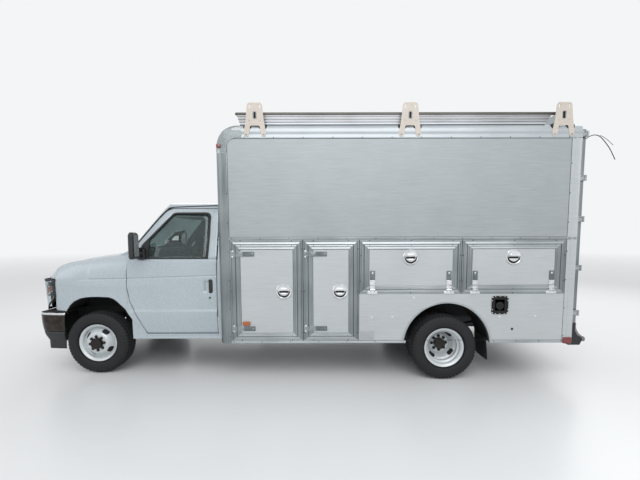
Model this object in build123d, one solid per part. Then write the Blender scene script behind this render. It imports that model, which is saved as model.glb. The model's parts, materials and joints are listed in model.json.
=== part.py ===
from build123d import *
import math
import os

# A full-size cutaway van with dual rear wheels and an enclosed service body.
# Millimetres. +X is forward, +Y is the driver's side, +Z is up.
# The origin is on the ground, in the middle of the vehicle's length and width.
# Body stations are given as distances behind the front axle and turned into X by x_at().

# ---- driving dimensions: running gear ----
WHEELBASE = 4013.0
FRONT_OVERHANG = 757.0
REAR_OVERHANG = 1568.0
TYRE_R = 364.0
TYRE_WIDTH = 223.0
TYRE_WALL = 14.0
RIM_SEAT_R = 203.0
RIM_FLANGE_R = 221.0
RIM_WIDTH = 176.0
RIM_METAL = 9.0
HUB_BORE_R = 62.0
FRONT_TRACK = 1762.0
REAR_DUAL_MID = 978.0
DUAL_SPACING = 272.0
KINGPIN_Y = 790.0
STEER_LIMIT = 32.0
KING_EYE_R = 34.0
KING_PIN_R = 16.0
BEAM_HEIGHT = 84.0
FORK_GAP = 6.0
FORK_REACH = 84.0
RAIL_Y = 422.0
RAIL_WIDTH = 64.0
RAIL_HEIGHT = 160.0
RAIL_TOP = 720.0

# ---- driving dimensions: cab ----
CAB_HALF_WIDTH = 1005.0
CAB_REAR = 1500.0
CAB_WALL = 70.0
PANEL_SKIN = 18.0
CAB_FLOOR_TOP = 745.0
FLOOR_THICKNESS = 25.0
DOOR_GAP = 7.0
FRAME_GAP = 13.0
GLASS_THICKNESS = 6.0
BELT_Z = 1341.0
PILLAR_BASE = 1432.0
SCREEN_LOW = 1452.0
SCREEN_HIGH = 1905.0
ROOF_SIDE_Z = 1890.0
ROOF_TOP_Z = 2047.0
ROCKER_BOTTOM = 422.0
DOOR_BOTTOM = 486.0
DOOR_FRONT = 394.0
CAB_HINGES = (840.0, 1220.0)
SEAT = 0.3
DOOR_REAR = 1429.0
HOOD_REAR = 165.0
HOOD_HALF_WIDTH = 838.0

# ---- driving dimensions: service body ----
BODY_HALF_WIDTH = 1219.0
BODY_FRONT = 1508.0
BODY_REAR = WHEELBASE + 1411.0
BODY_BOTTOM = 430.0
BODY_TOP = 2795.0
BODY_WALL = 40.0
TOP_RAIL_Z = 2647.0
FRONT_POST = 136.0
POST_RADIUS = 110.0
CAP_RADIUS = 290.0
ROOF_EDGE_RADIUS = 70.0
BODY_FLOOR_TOP = 880.0
BODY_FLOOR_THICKNESS = 60.0
LOCKER_DEPTH = 400.0
LOCKER_WALL = 12.0
LOCKER_TOP = 1560.0
DOOR_TOP = 1522.0
TALL_BOTTOM = 499.0
DROP_BOTTOM = 1025.0
ARCH_X = WHEELBASE + 21.0
ARCH_Z = 390.0
ARCH_R = 485.0
REAR_DOOR_THICKNESS = 42.0
REAR_DOOR_BOTTOM = 655.0
REAR_DOOR_TOP = 2740.0
REAR_DOOR_SEAL = 8.0
PIN_OUT = 10.0
PLATE_SPACING = 177.8
PLATE_HOLE_R = 3.2
REAR_PLATE_Z = 598.0
FRONT_PLATE_Z = 614.0
PIN_R = 5.0
PIN_CLEARANCE = 0.3

OVERALL_LENGTH = FRONT_OVERHANG + WHEELBASE + REAR_OVERHANG
FRONT_AXLE_X = OVERALL_LENGTH / 2 - FRONT_OVERHANG
WALL_IN = BODY_HALF_WIDTH - BODY_WALL
LOCKER_BACK = WALL_IN - LOCKER_DEPTH
CLEAR_OUT = BODY_HALF_WIDTH + 81.0

# Each locker door: front edge, rear edge, bottom, and which edge is hinged.
LOCKER_DOORS = {
    "front_locker_door": (1704.0, 2381.0, TALL_BOTTOM, "front"),
    "rear_locker_door": (2497.0, 2998.0, TALL_BOTTOM, "front"),
    "front_drop_door": (3109.0, ARCH_X + 104.0, DROP_BOTTOM, "bottom"),
    "rear_drop_door": (ARCH_X + 200.0, BODY_REAR - 161.0, DROP_BOTTOM, "bottom"),
}

PLANES = {"x": Plane.YZ, "y": Plane.XZ, "z": Plane.XY}
ALONG = {"x": Vector(1, 0, 0), "y": Vector(0, 1, 0), "z": Vector(0, 0, 1)}


def x_at(station):
    """Turn a distance behind the front axle into X."""
    return FRONT_AXLE_X - station


def block(s0, s1, y0, y1, z0, z1):
    """A box between two stations, two Y values and two heights."""
    size = Box(abs(s1 - s0), abs(y1 - y0), abs(z1 - z0))
    return Pos(x_at((s0 + s1) / 2), (y0 + y1) / 2, (z0 + z1) / 2) * size


def prism(points, axis, low, high, rounds=()):
    """Extrude an outline along one axis. Rounds pairs an outline corner with its radius."""
    face = make_face(Polyline(*points, close=True))
    for corner, radius in rounds:
        nearest = min(face.vertices(), key=lambda v: math.dist((v.X, v.Y), corner))
        face = fillet(nearest, radius)
    placed = PLANES[axis] * face
    return extrude(placed.moved(Location(ALONG[axis] * low)), high - low, dir=ALONG[axis])


def side_prism(points, y0, y1, rounds=()):
    """Extrude an outline of (station, height) points across the vehicle."""
    turned = [(x_at(s), z) for s, z in points]
    corners = [((x_at(s), z), r) for (s, z), r in rounds]
    return prism(turned, "y", y0, y1, corners)


def plan_prism(points, z0, z1, rounds=()):
    """Extrude an outline of (station, Y) points upwards."""
    turned = [(x_at(s), y) for s, y in points]
    corners = [((x_at(s), y), r) for (s, y), r in rounds]
    return prism(turned, "z", z0, z1, corners)


def both_sides(half):
    """A left half outline of (across, other) points, closed with its mirror image."""
    return half + [(-a, b) for a, b in reversed(half) if a != 0]


def rod(start, end, radius):
    """A round bar between two points given as (station, Y, Z)."""
    a = Vector(x_at(start[0]), start[1], start[2])
    b = Vector(x_at(end[0]), end[1], end[2])
    plane = Plane(origin=a, z_dir=(b - a).normalized())
    return extrude(plane * Circle(radius), (b - a).length)


def bar(start, end, width, height):
    """A rectangular bar between two points given as (station, Y, Z)."""
    a = Vector(x_at(start[0]), start[1], start[2])
    b = Vector(x_at(end[0]), end[1], end[2])
    along = (b - a).normalized()
    plane = Plane(origin=a, x_dir=along.cross(Vector(0, 0, 1)), z_dir=along)
    return extrude(plane * Rectangle(width, height), (b - a).length)


def turned(points, station, y, z):
    """Turn an outline of (radius, Y offset) points about a crosswise axis."""
    face = make_face(Polyline(*[(r, w, 0) for r, w in points], close=True))
    solid = revolve(face, Axis.Y)
    return Pos(x_at(station), y, z) * solid


def other_side(shape):
    return mirror(shape, about=Plane.XZ)


def whole(*shapes):
    """Several solids that don't touch, kept as one named piece."""
    solids = [s for shape in shapes for s in shape.solids()]
    return Compound(solids)


# ---------------------------------------------------------------- wheels

def tyre(station, y):
    """A tyre section whose sidewall points stand at shares of its height over the rim seat,
    and whose bead points stand at shares of its height over the rim flange."""
    half = TYRE_WIDTH / 2
    seat = RIM_SEAT_R + 0.3
    height = TYRE_R - seat
    flange = RIM_FLANGE_R + 1.5
    side = TYRE_R - flange
    bead = RIM_WIDTH / 2 - RIM_METAL - 1
    outer = [(seat, bead), (flange, bead), (flange + 0.0403428 * side, bead + 14),
             (flange + 0.1084841 * side, half - 12), (seat + 0.41 * height, half),
             (seat + 0.72 * height, half - 4), (seat + 0.925 * height, half - 26), (TYRE_R, half - 48)]
    inner = [(seat + 0.85 * height, half - 52), (seat + 0.675 * height, half - 22),
             (seat + 0.4 * height, half - TYRE_WALL), (seat + 0.225 * height, half - 28),
             (seat + 0.125 * height, bead - 14), (seat, bead - 18)]
    outline = ([(r, w) for r, w in outer] + [(r, -w) for r, w in reversed(outer)]
               + [(r, -w) for r, w in reversed(inner)] + [(r, w) for r, w in inner])
    return turned(outline, station, y, TYRE_R)


def rim(station, y, face, side):
    """A steel wheel: a well-base barrel with a dished disc whose bolting face is at `face`.
    Face is measured outboard of the tyre's middle, and side is +1 on the left."""
    half = RIM_WIDTH / 2
    seat = RIM_SEAT_R
    well = seat - 22
    barrel_out = [(RIM_FLANGE_R, half), (RIM_FLANGE_R, half - RIM_METAL), (seat, half - RIM_METAL),
                  (seat, half - 42), (well, half - 58), (well, -half + 58), (seat, -half + 42),
                  (seat, -half + RIM_METAL), (RIM_FLANGE_R, -half + RIM_METAL), (RIM_FLANGE_R, -half)]
    barrel_in = [(seat - RIM_METAL, -half), (seat - RIM_METAL, -half + 40),
                 (well - RIM_METAL, -half + 57), (well - RIM_METAL, half - 57),
                 (seat - RIM_METAL, half - 40), (seat - RIM_METAL, half)]
    barrel = turned(barrel_out + barrel_in, station, y, TYRE_R)
    root = math.copysign(min(abs(face), half - 64), face)
    disc = [(HUB_BORE_R, side * face), (HUB_BORE_R, side * (face - 11)), (112, side * (face - 11)),
            (well - 8, side * (root - 11)), (well - 8, side * root), (112, side * face)]
    plate = turned(disc, station, y, TYRE_R)
    hole_ring = (112 + well) / 2
    for i in range(4):
        angle = math.radians(45 + 90 * i)
        x = x_at(station) + hole_ring * math.cos(angle)
        z = TYRE_R + hole_ring * math.sin(angle)
        vent = Pos(x, y, z) * Rot(90, 0, 0) * Cylinder(19, 400)
        plate = plate - vent
    return barrel + plate


FRONT_TYRE_Y = FRONT_TRACK / 2
FRONT_FACE = 104.0
OUTER_TYRE_Y = REAR_DUAL_MID + DUAL_SPACING / 2
INNER_TYRE_Y = REAR_DUAL_MID - DUAL_SPACING / 2
SPINDLE_FIT = 0.4


def front_rim():
    return rim(0, FRONT_TYRE_Y, FRONT_FACE, 1)


def rear_rims():
    offset = DUAL_SPACING / 2 - 0.5
    outer = rim(WHEELBASE, OUTER_TYRE_Y, -(offset - 11), 1)
    inner = rim(WHEELBASE, INNER_TYRE_Y, offset, 1)
    return whole(outer, inner)


def pin_at_king(radius, z0, z1):
    """An upright cylinder on the left kingpin's axis."""
    return Pos(x_at(0), KINGPIN_Y, (z0 + z1) / 2) * Cylinder(radius, z1 - z0)


def knuckle():
    """The fork on the kingpin with the spindle, brake rotor and hub that carry a front wheel."""
    disc_y = FRONT_TYRE_Y + FRONT_FACE
    web_y = KINGPIN_Y + KING_EYE_R + FORK_GAP
    web = block(-36, 36, web_y, web_y + 24, TYRE_R - FORK_REACH, TYRE_R + FORK_REACH)
    fork = web
    near = BEAM_HEIGHT / 2 + FORK_GAP
    for low, high in ((TYRE_R + near, TYRE_R + FORK_REACH), (TYRE_R - FORK_REACH, TYRE_R - near)):
        lug = block(-KING_EYE_R, KING_EYE_R, KINGPIN_Y, web_y + 10, low, high)
        fork = fork + lug + pin_at_king(KING_EYE_R, low, high)
    arm = block(0, 190, KINGPIN_Y - 46, KINGPIN_Y - 18, TYRE_R - FORK_REACH, TYRE_R - FORK_REACH + 22)
    fork = fork + arm - pin_at_king(KING_PIN_R + PIN_CLEARANCE, 200, 520)
    hub = rod((0, web_y + 5, TYRE_R), (0, disc_y + 34, TYRE_R), HUB_BORE_R - SPINDLE_FIT)
    rotor_y = web_y + 24
    rotor = rod((0, rotor_y, TYRE_R), (0, rotor_y + 22, TYRE_R), 150)
    caliper = block(96, 166, rotor_y - 12, rotor_y + 40, TYRE_R - 70, TYRE_R + 70)
    caliper = caliper & rod((0, KINGPIN_Y, TYRE_R), (0, disc_y, TYRE_R), 163)
    return fork + hub + rotor + caliper


BEAM_PIVOT = (52.0, 330.0, 300.0)
BEAM_END_Y = KINGPIN_Y - KING_EYE_R + 4
ARM_DROP = 19.0


def beam_top(y):
    """Height of a front beam's top face, above a Y value on its wheel's side."""
    station, pivot_y, pivot_z = BEAM_PIVOT
    run = BEAM_END_Y + pivot_y
    slope = math.atan2(TYRE_R - pivot_z, math.hypot(run, station))
    middle = pivot_z + (TYRE_R - pivot_z) * (y + pivot_y) / run
    return middle + BEAM_HEIGHT / 2 / math.cos(slope)


def front_axle():
    """Twin I-beams that cross under the frame, each with its radius arm."""
    def beam(side, station):
        web = bar((station, -side * BEAM_PIVOT[1], BEAM_PIVOT[2]), (0, side * BEAM_END_Y, TYRE_R), 60,
                  BEAM_HEIGHT)
        low, high = TYRE_R - BEAM_HEIGHT / 2, TYRE_R + BEAM_HEIGHT / 2
        eye = pin_at_king(KING_EYE_R, low, high) + pin_at_king(KING_PIN_R, TYRE_R - 88, TYRE_R + 88)
        eye = eye if side > 0 else other_side(eye)
        pivot = block(station - 40, station + 40, -side * 372, -side * 300, 262, RAIL_TOP - RAIL_HEIGHT)
        arm = bar((0, side * 540, TYRE_R - ARM_DROP), (950, side * RAIL_Y, 500), 46, 56)
        bracket = block(905, 1000, side * (RAIL_Y - 28), side * (RAIL_Y + 28), 460,
                        RAIL_TOP - RAIL_HEIGHT)
        return web + eye + pivot + arm + bracket
    left = beam(1, -BEAM_PIVOT[0])
    right = beam(-1, BEAM_PIVOT[0])
    return left, right


AXLE_NOSE = 250.0


def rear_axle():
    hub_end = REAR_DUAL_MID + 70
    tube = rod((WHEELBASE, -hub_end + 60, TYRE_R), (WHEELBASE, hub_end - 60, TYRE_R), 46)
    bowl = Pos(x_at(WHEELBASE), 0, TYRE_R) * Sphere(168)
    nose = rod((WHEELBASE - AXLE_NOSE, 0, TYRE_R), (WHEELBASE, 0, TYRE_R), 62)
    result = tube + bowl + nose
    for side in (1, -1):
        hub = rod((WHEELBASE, side * (REAR_DUAL_MID - 120), TYRE_R),
                  (WHEELBASE, side * hub_end, TYRE_R), HUB_BORE_R - SPINDLE_FIT)
        drum = rod((WHEELBASE, side * (REAR_DUAL_MID - 210), TYRE_R),
                   (WHEELBASE, side * (REAR_DUAL_MID - 120), TYRE_R), 150)
        result = result + hub + drum
    return result


SPRING_Y = 590.0
COIL_Y = 510.0
COIL_R = 56.0
COIL_GAP = 1.9187


def springs():
    """Coils over the front beams and leaf packs over the rear axle."""
    parts = []
    seat_z = RAIL_TOP - RAIL_HEIGHT
    for side in (1, -1):
        foot_z = beam_top(COIL_Y + COIL_R) + COIL_GAP
        coil = rod((0, side * COIL_Y, foot_z), (0, side * COIL_Y, seat_z + 40), COIL_R)
        perch = block(-60, 60, side * (RAIL_Y + RAIL_WIDTH / 2), side * 570, seat_z + 40, seat_z + 66)
        parts.append(coil + perch)
        eye_z = seat_z - 10
        low_z = TYRE_R + 46
        outline = [(WHEELBASE - 720, eye_z), (WHEELBASE - 60, low_z), (WHEELBASE + 60, low_z),
                   (WHEELBASE + 720, eye_z), (WHEELBASE + 720, eye_z + 16), (WHEELBASE + 420, low_z + 88),
                   (WHEELBASE + 200, low_z + 66), (WHEELBASE - 200, low_z + 66),
                   (WHEELBASE - 420, low_z + 88), (WHEELBASE - 720, eye_z + 16)]
        pack = side_prism(outline, side * SPRING_Y - 35, side * SPRING_Y + 35)
        inner = side * (RAIL_Y + RAIL_WIDTH / 2)
        for end in (-720, 720):
            pack = pack + block(WHEELBASE + end - 30, WHEELBASE + end + 30, inner,
                                side * (SPRING_Y + 35), eye_z - 24, eye_z + 90)
        parts.append(pack)
    return whole(*parts)


# ---------------------------------------------------------------- chassis

GEARBOX_BOTTOM = 585.0
GEARBOX_REAR = 1300.0
SHAFT_TOP = 640.0
SHAFT_R = 45.0
SHAFT_GAP = 0.4887
SHAFT_RUN = WHEELBASE - AXLE_NOSE - GEARBOX_REAR
SHAFT_DROP = SHAFT_TOP - TYRE_R
HANGER_X = GEARBOX_REAR + 0.42630938 * SHAFT_RUN
FRAME_FRONT = -560.0
BUMPER_LAP = 3.0
BUMPER_END_GAP = 4.0
FRAME_REAR = BODY_REAR - BUMPER_LAP - SEAT
TANK_FRONT = WHEELBASE + 347.0
TANK_REAR = BODY_REAR - 164.0
TANK_STRAP = 39.7
CROSS_HALF = 30.0
CROSSMEMBERS = (-530.0, HANGER_X, 3420.0, TANK_FRONT - TANK_STRAP - SEAT - CROSS_HALF,
                TANK_REAR + TANK_STRAP + SEAT + CROSS_HALF)


def chassis_frame():
    low = RAIL_TOP - RAIL_HEIGHT
    result = block(FRAME_FRONT, FRAME_REAR, RAIL_Y - 32, RAIL_Y + 32, low, RAIL_TOP)
    result = result + other_side(result)
    for station in CROSSMEMBERS:
        result = result + block(station - CROSS_HALF, station + CROSS_HALF, -RAIL_Y, RAIL_Y, low + 20,
                                RAIL_TOP - 20)
    engine_cradle = block(180, 300, -RAIL_Y, RAIL_Y, low, low + 58)
    gearbox_cradle = block(1050, 1110, -RAIL_Y, RAIL_Y, low, GEARBOX_BOTTOM)
    return result + engine_cradle + gearbox_cradle


def engine():
    sump = block(-60, 560, -130, 130, RAIL_TOP - RAIL_HEIGHT + 58, 700)
    mass = block(-180, 620, -300, 300, 690, 1090)
    return sump + mass


def driveshaft():
    """The gearbox and the propeller shaft behind it."""
    box = block(621, GEARBOX_REAR, -130, 130, GEARBOX_BOTTOM, 715)
    reach = SHAFT_R * SHAFT_DROP / math.hypot(SHAFT_DROP, SHAFT_RUN)
    end = WHEELBASE - AXLE_NOSE - SHAFT_GAP - reach
    shaft = rod((GEARBOX_REAR, 0, SHAFT_TOP), (end, 0, TYRE_R), SHAFT_R)
    hanger = block(HANGER_X - 30, HANGER_X + 30, -50, 50, 470, RAIL_TOP - RAIL_HEIGHT + 20)
    return box + shaft + hanger


def exhaust():
    points = [(690, -300, 560), (900, -300, 480), (HANGER_X + 270, -300, 480), (HANGER_X + 710, -500, 492),
              (WHEELBASE + 547, -500, 492), (WHEELBASE + 847, -760, 392),
              (WHEELBASE + 947, 89 - BODY_HALF_WIDTH, 380)]
    path = FilletPolyline(*[(x_at(s), y, z) for s, y, z in points], radius=110)
    start = Plane(origin=path @ 0, z_dir=path % 0)
    pipe = sweep(start * Circle(30), path)
    muffler = Pos(x_at(1780), -300, 470) * Rot(0, 90, 0) * Cylinder(88, 700)
    hanger = block(HANGER_X - 15, HANGER_X + 15, -315, -285, 500, RAIL_TOP - RAIL_HEIGHT + 20)
    return pipe + muffler + hanger


def fuel_tank():
    body = block(TANK_FRONT, TANK_REAR, -370, 370, 400, 690)
    straps = block(TANK_FRONT - TANK_STRAP, TANK_REAR + TANK_STRAP, -40, 40, 640, 660)
    return body + straps


# ---------------------------------------------------------------- cab

def greenhouse(inset):
    """The space inside the cab's outer surface, above and below the belt, set in by a wall."""
    lower = CAB_HALF_WIDTH - inset
    upper = inset * 0.62
    half = [(lower - 8, ROCKER_BOTTOM - 2), (lower + 2, 800), (lower, 1100),
            (lower - 12, BELT_Z - 6), (838 - upper, ROOF_SIDE_Z - upper * 0.4),
            (758 - upper, 1998 - upper * 0.9)]
    crown = ThreePointArc((half[-1][0], half[-1][1]), (0, ROOF_TOP_Z - upper),
                          (-half[-1][0], half[-1][1]))
    walls = Polyline(*([(-y, z) for y, z in reversed(half)] + half))
    face = make_face([crown, walls])
    tube = extrude((Plane.YZ * face).moved(Location((x_at(CAB_REAR), 0, 0))), 1300, dir=(1, 0, 0))
    rake = Vector(-0.89, 0, 1)
    base_z = 1400.0
    front = [(200, 0), (228, 500), (306, 800), (350, 900), (420, 1010), (CAB_REAR + 1300, 1200)]
    shift = inset * 0.75
    line = [(s + shift, y) for s, y in front[:-1]] + [front[-1]]
    plan = [(x_at(s), y) for s, y in line] + [(x_at(s), -y) for s, y in reversed(line) if y]
    low_z = 300.0
    face = make_face(Polyline(*plan, close=True))
    start = face.moved(Location((-rake.X * (base_z - low_z), 0, low_z)))
    slanted = extrude(start, (ROOF_TOP_Z + 100 - low_z) * rake.length, dir=rake)
    return tube & slanted


DOOR_OUTLINE = [(DOOR_FRONT, 1395), (DOOR_FRONT - 2, 1035), (DOOR_FRONT + 21, 862), (602, DOOR_BOTTOM),
                (DOOR_REAR, DOOR_BOTTOM), (DOOR_REAR, 1940), (838, 1940)]
WINDOW_OUTLINE = [(545, BELT_Z + 12), (1330, BELT_Z + 12), (1345, 1850), (1290, 1895), (905, 1895),
                  (560, 1530)]


def grown(points, amount):
    """An outline offset outwards by an amount, still as a list of corners."""
    wire = offset(make_face(Polyline(*points, close=True)), amount, kind=Kind.INTERSECTION)
    loop = wire.faces()[0].outer_wire()
    return [(p.X, p.Y) for p in [e.position_at(0) for e in loop.order_edges()]]


def cab_wall():
    outer = greenhouse(0)
    rear_cut = block(CAB_REAR + 1, CAB_REAR + 400, -1300, 1300, 0, 2300)
    return outer - greenhouse(CAB_WALL) - rear_cut


def door_prism(outline, side, reach=(600, 1200)):
    low, high = sorted((side * reach[0], side * reach[1]))
    return side_prism(outline, low, high)


def cab_shell(wall):
    """Roof, windshield frame, pillars, rockers and rear panel in one welded shell."""
    keep = side_prism([(150, PILLAR_BASE), (DOOR_FRONT + 40, PILLAR_BASE),
                       (DOOR_FRONT + 40, ROCKER_BOTTOM), (CAB_REAR, ROCKER_BOTTOM),
                       (CAB_REAR, 2200), (150, 2200)], -1200, 1200)
    shell = wall & keep
    opening = grown(DOOR_OUTLINE, DOOR_GAP)
    for side in (1, -1):
        shell = shell - door_prism(opening, side)
        frame_cut = side_prism([(DOOR_REAR - 100, BELT_Z), (DOOR_REAR + FRAME_GAP, BELT_Z),
                                (DOOR_REAR + FRAME_GAP, 1940 + DOOR_GAP), (DOOR_REAR - 100, 1940 + DOOR_GAP)],
                               *sorted((side * 600, side * 1200)))
        shell = shell - frame_cut
    shell = shell - screen_hole(0)
    rear_panel = block(CAB_REAR - 34, CAB_REAR, -925, 925, CAB_FLOOR_TOP - FLOOR_THICKNESS, 1880)
    rear_panel = rear_panel & greenhouse(CAB_WALL * 0.5)
    shell = shell + rear_panel
    shell = shell - block(CAB_REAR - 50, CAB_REAR + 50, -PASS_HALF, PASS_HALF, BODY_FLOOR_TOP + 20,
                          PASS_TOP)
    cowl_half = HOOD_HALF_WIDTH + DOOR_GAP - SEAT
    cowl = side_prism([(HOOD_REAR + 26, 1330), (HOOD_REAR + 26, 1380), (235, 1392), (350, SCREEN_LOW - 4),
                       (470, SCREEN_LOW - 4), (470, 1330)], -cowl_half, cowl_half)
    cowl = cowl + block(418, 470, -880, 880, 1330, SCREEN_LOW - 4)
    post = block(418, 470, 850, 912, CAB_FLOOR_TOP, 1332)
    for z in CAB_HINGES:
        post = post + (block(430, 470, 900, 960, z - 40, z + 40) & greenhouse(CAB_WALL + SEAT))
    return shell + cowl + post + other_side(post)


def screen_hole(margin):
    """The windshield's opening, drawn in by a margin."""
    low, high = SCREEN_LOW + margin, SCREEN_HIGH - margin
    across = both_sides([(780 - margin, low), (700 - margin, high)])
    band = prism(across, "x", x_at(1180), x_at(-300))
    return band & side_prism([(-200, low), (-200, high), (790, high), (420, low)], -900, 900)


PASS_HALF = 460.0
PASS_TOP = 1830.0


def cab_door(wall, side):
    leaf = wall & door_prism(DOOR_OUTLINE, side)
    leaf = leaf - door_prism(WINDOW_OUTLINE, side)
    return leaf


def door_glass(wall, side):
    pane = wall & door_prism(WINDOW_OUTLINE, side)
    low_y, low_z = 0.5 * (CAB_HALF_WIDTH - 12 + CAB_HALF_WIDTH - CAB_WALL), BELT_Z
    high_y = 838 - 22
    slope = (high_y - low_y) / (ROOF_SIDE_Z - low_z)
    top = 1960.0
    half = GLASS_THICKNESS / 2
    strip = [(low_y - half, low_z), (low_y + half, low_z),
             (low_y + slope * (top - low_z) + half, top), (low_y + slope * (top - low_z) - half, top)]
    sheet = prism([(side * y, z) for y, z in strip], "x", x_at(1480), x_at(400))
    return pane & sheet


def windshield():
    pane = greenhouse(CAB_WALL * 0.4) - greenhouse(CAB_WALL * 0.4 + GLASS_THICKNESS / 0.7)
    return pane & screen_hole(0.2)


def cab_floor():
    """Floor, firewall and the hollow engine cover between the seats."""
    edge = CAB_HALF_WIDTH - CAB_WALL - 2
    low = CAB_FLOOR_TOP - FLOOR_THICKNESS
    floor = block(440, CAB_REAR - 34, -edge, edge, low, CAB_FLOOR_TOP)
    firewall = block(440, 462, -850, 850, low, 1330)
    cover = block(462, 900, -350, 350, CAB_FLOOR_TOP, 1150)
    hollow = block(400, 880, -330, 330, low - 10, 1130)
    return (floor + firewall + cover) - hollow


def clip_section(station, half, top, inset):
    """One cross-section of the nose: flat flanks, round shoulders and a slightly crowned top."""
    w = half - inset
    t = top - inset
    low = 380.0
    x = x_at(station)
    crown = Spline((x, w, t - 250), (x, w - 22, t - 150), (x, w - 75, t - 72), (x, w - 175, t - 28),
                   (x, 0, t), (x, -(w - 175), t - 28), (x, -(w - 75), t - 72), (x, -(w - 22), t - 150),
                   (x, -w, t - 250), tangents=[(0, 0, 1), (0, 0, -1)])
    rest = Polyline((x, -w, t - 250), (x, -w, low), (x, w, low), (x, w, t - 250))
    return make_face([crown, rest])


NOSE = ((-650.0, 800.0, 1178.0), (-536.0, 900.0, 1276.0), (-398.0, 962.0, 1326.0),
        (-228.0, 992.0, 1356.0), (53.0, 1003.0, 1398.0), (430.0, CAB_HALF_WIDTH, 1436.0))


def nose(inset):
    first = NOSE[0][0] + inset * 0.3
    sections = [clip_section(s if i else first, w, t, inset) for i, (s, w, t) in enumerate(NOSE)]
    return loft(sections, ruled=True)


def nose_skin():
    return nose(0) - nose(PANEL_SKIN) - block(-900, 440, -1200, 1200, 300, 400)


def hood(skin):
    keep = side_prism([(-650, 1124), (-650, 1500), (HOOD_REAR, 1500), (HOOD_REAR, 1200), (-400, 1124)],
                      -HOOD_HALF_WIDTH, HOOD_HALF_WIDTH)
    return skin & keep


ARCH_OUTLINE = [(-640, 380), (-640, 745), (-345, 745), (-339, 758), (-251, 857), (-168, 898), (-37, 917), (174, 913), (269, 863),
                (361, 772), (452, 640), (525, 505), (540, 380)]


def fenders(skin):
    rear_edge = [(DOOR_FRONT - DOOR_GAP, 1500), (DOOR_FRONT - DOOR_GAP - 2, 1035),
                 (DOOR_FRONT - DOOR_GAP + 21, 862), (602 - DOOR_GAP, DOOR_BOTTOM), (595, ROCKER_BOTTOM),
                 (-480, ROCKER_BOTTOM), (-470, 745), (-470, 1118), (-600, 1118), (-600, 1500)]
    low = HOOD_HALF_WIDTH + DOOR_GAP
    pieces = []
    patch = block(436, 600, CAB_HALF_WIDTH - PANEL_SKIN, CAB_HALF_WIDTH, ROCKER_BOTTOM, 760)
    left = (skin & block(-640, 430, low, 1300, 400, 1600)) + patch
    left = left & side_prism(rear_edge, low, 1300)
    left = left - side_prism(ARCH_OUTLINE, 700, 1300)
    biggest = max(left.solids(), key=lambda s: s.volume)
    pieces.append(biggest)
    pieces.append(other_side(biggest))
    return whole(*pieces)


def front_bumper():
    outer = [(-FRONT_OVERHANG, 0), (-FRONT_OVERHANG, 150), (-750, 500), (-728, 850), (-650, 950),
             (-500, 992), (-366, 1000)]
    band = plan_band_closed(outer, 40, 500, 728)
    mounts = block(-717, -600, RAIL_Y - 32, RAIL_Y + 32, 600, 690)
    return band + mounts + other_side(mounts) - plate_holes(-800, -700, FRONT_PLATE_Z)


def plan_band_closed(outer, thickness, z0, z1):
    left = [(s, y) for s, y in outer]
    line = [(s, -y) for s, y in reversed(left) if y] + left
    inner_left = [(s + thickness, y) for s, y in outer[:-3]]
    inner_left += [(s + thickness * 0.6, y - thickness * 0.9) for s, y in outer[-3:-1]]
    inner_left += [(outer[-1][0], outer[-1][1] - thickness)]
    back = list(reversed(inner_left)) + [(s, -y) for s, y in inner_left if y]
    return plan_prism(line + back, z0, z1)


def plate_holes(s0, s1, z):
    """The two bores of a number plate's upper screws, bored fore and aft."""
    bores = [rod((s0, k * PLATE_SPACING / 2, z), (s1, k * PLATE_SPACING / 2, z), PLATE_HOLE_R)
             for k in (-1, 1)]
    return bores[0] + bores[1]


def front_valance():
    outer = [(-690, 0), (-684, 500), (-662, 830), (-590, 920), (-490, 955)]
    skirt = plan_band_closed(outer, 30, 262, 499.7)
    return skirt


def grille_panel():
    body = block(-672, -626, -640, 640, 742, 1123.7)
    slots = None
    for i in range(4):
        z = 770 + i * 84
        slot = block(-700, -600, -600, 600, z, z + 66)
        slots = slot if slots is None else slots + slot
    carrier = block(-626, -600, -640, 640, 742, 1123.7)
    window = block(-640, -590, -560, 560, 790, 1070)
    tie = block(-600, FRAME_FRONT, RAIL_Y - 30, RAIL_Y + 30, 570, 800)
    return (body - slots) + (carrier - window) + tie + other_side(tie)


LENS_OUT = 20.0


def lamps():
    """Headlamps, clearance lamps and rear side markers, each a separate closed unit."""
    out = []
    head = plan_prism([(-655, 640.3), (-598, 800), (-480, 930), (-480, 800), (-540, 640.3)], 748, 1108)
    red = block(BODY_REAR - 102, BODY_REAR - 4, BODY_HALF_WIDTH, BODY_HALF_WIDTH + LENS_OUT, 431, 503)
    for unit in (head, red):
        out.append(unit)
        out.append(other_side(unit))
    for y in (-150, 0, 150):
        lamp = block(BODY_REAR, BODY_REAR + 24, y - 40, y + 40, 2755, 2780)
        out.append(lamp)
    return whole(*out)


SEAT_INNER_Y = 370.0
SEAT_OUTER_Y = 820.0


def seats():
    out = []
    for side in (1, -1):
        outline = [(960, CAB_FLOOR_TOP), (960, 920), (905, 960), (905, 1085), (1290, 1065), (1370, 1560),
                   (1395, 1700), (1440, 1700), (1440, 1560), (1440, 1000), (1380, 920),
                   (1380, CAB_FLOOR_TOP)]
        inner, outer = side * SEAT_INNER_Y, side * SEAT_OUTER_Y
        out.append(side_prism(outline, min(inner, outer), max(inner, outer)))
    return whole(*out)


WHEEL_CENTRE = (905.0, 430.0, 1255.0)
COLUMN_TILT = 35.0
STEERING_R = 195.0


def dashboard():
    top = side_prism([(462, 1010), (462, 1322), (660, 1322), (720, 1270), (700, 1040), (620, 1010)],
                     -848, 848)
    reach = 175.0
    tilt = math.radians(COLUMN_TILT)
    s, y, z = WHEEL_CENTRE
    near = (s - 22 * math.cos(tilt), y, z - 22 * math.sin(tilt))
    far = (s - (reach + 60) * math.cos(tilt), y, z - (reach + 60) * math.sin(tilt))
    cut = block(400, 905, -352, 352, 700, 1152)
    return (top - cut) + rod(far, near, 34)


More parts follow.
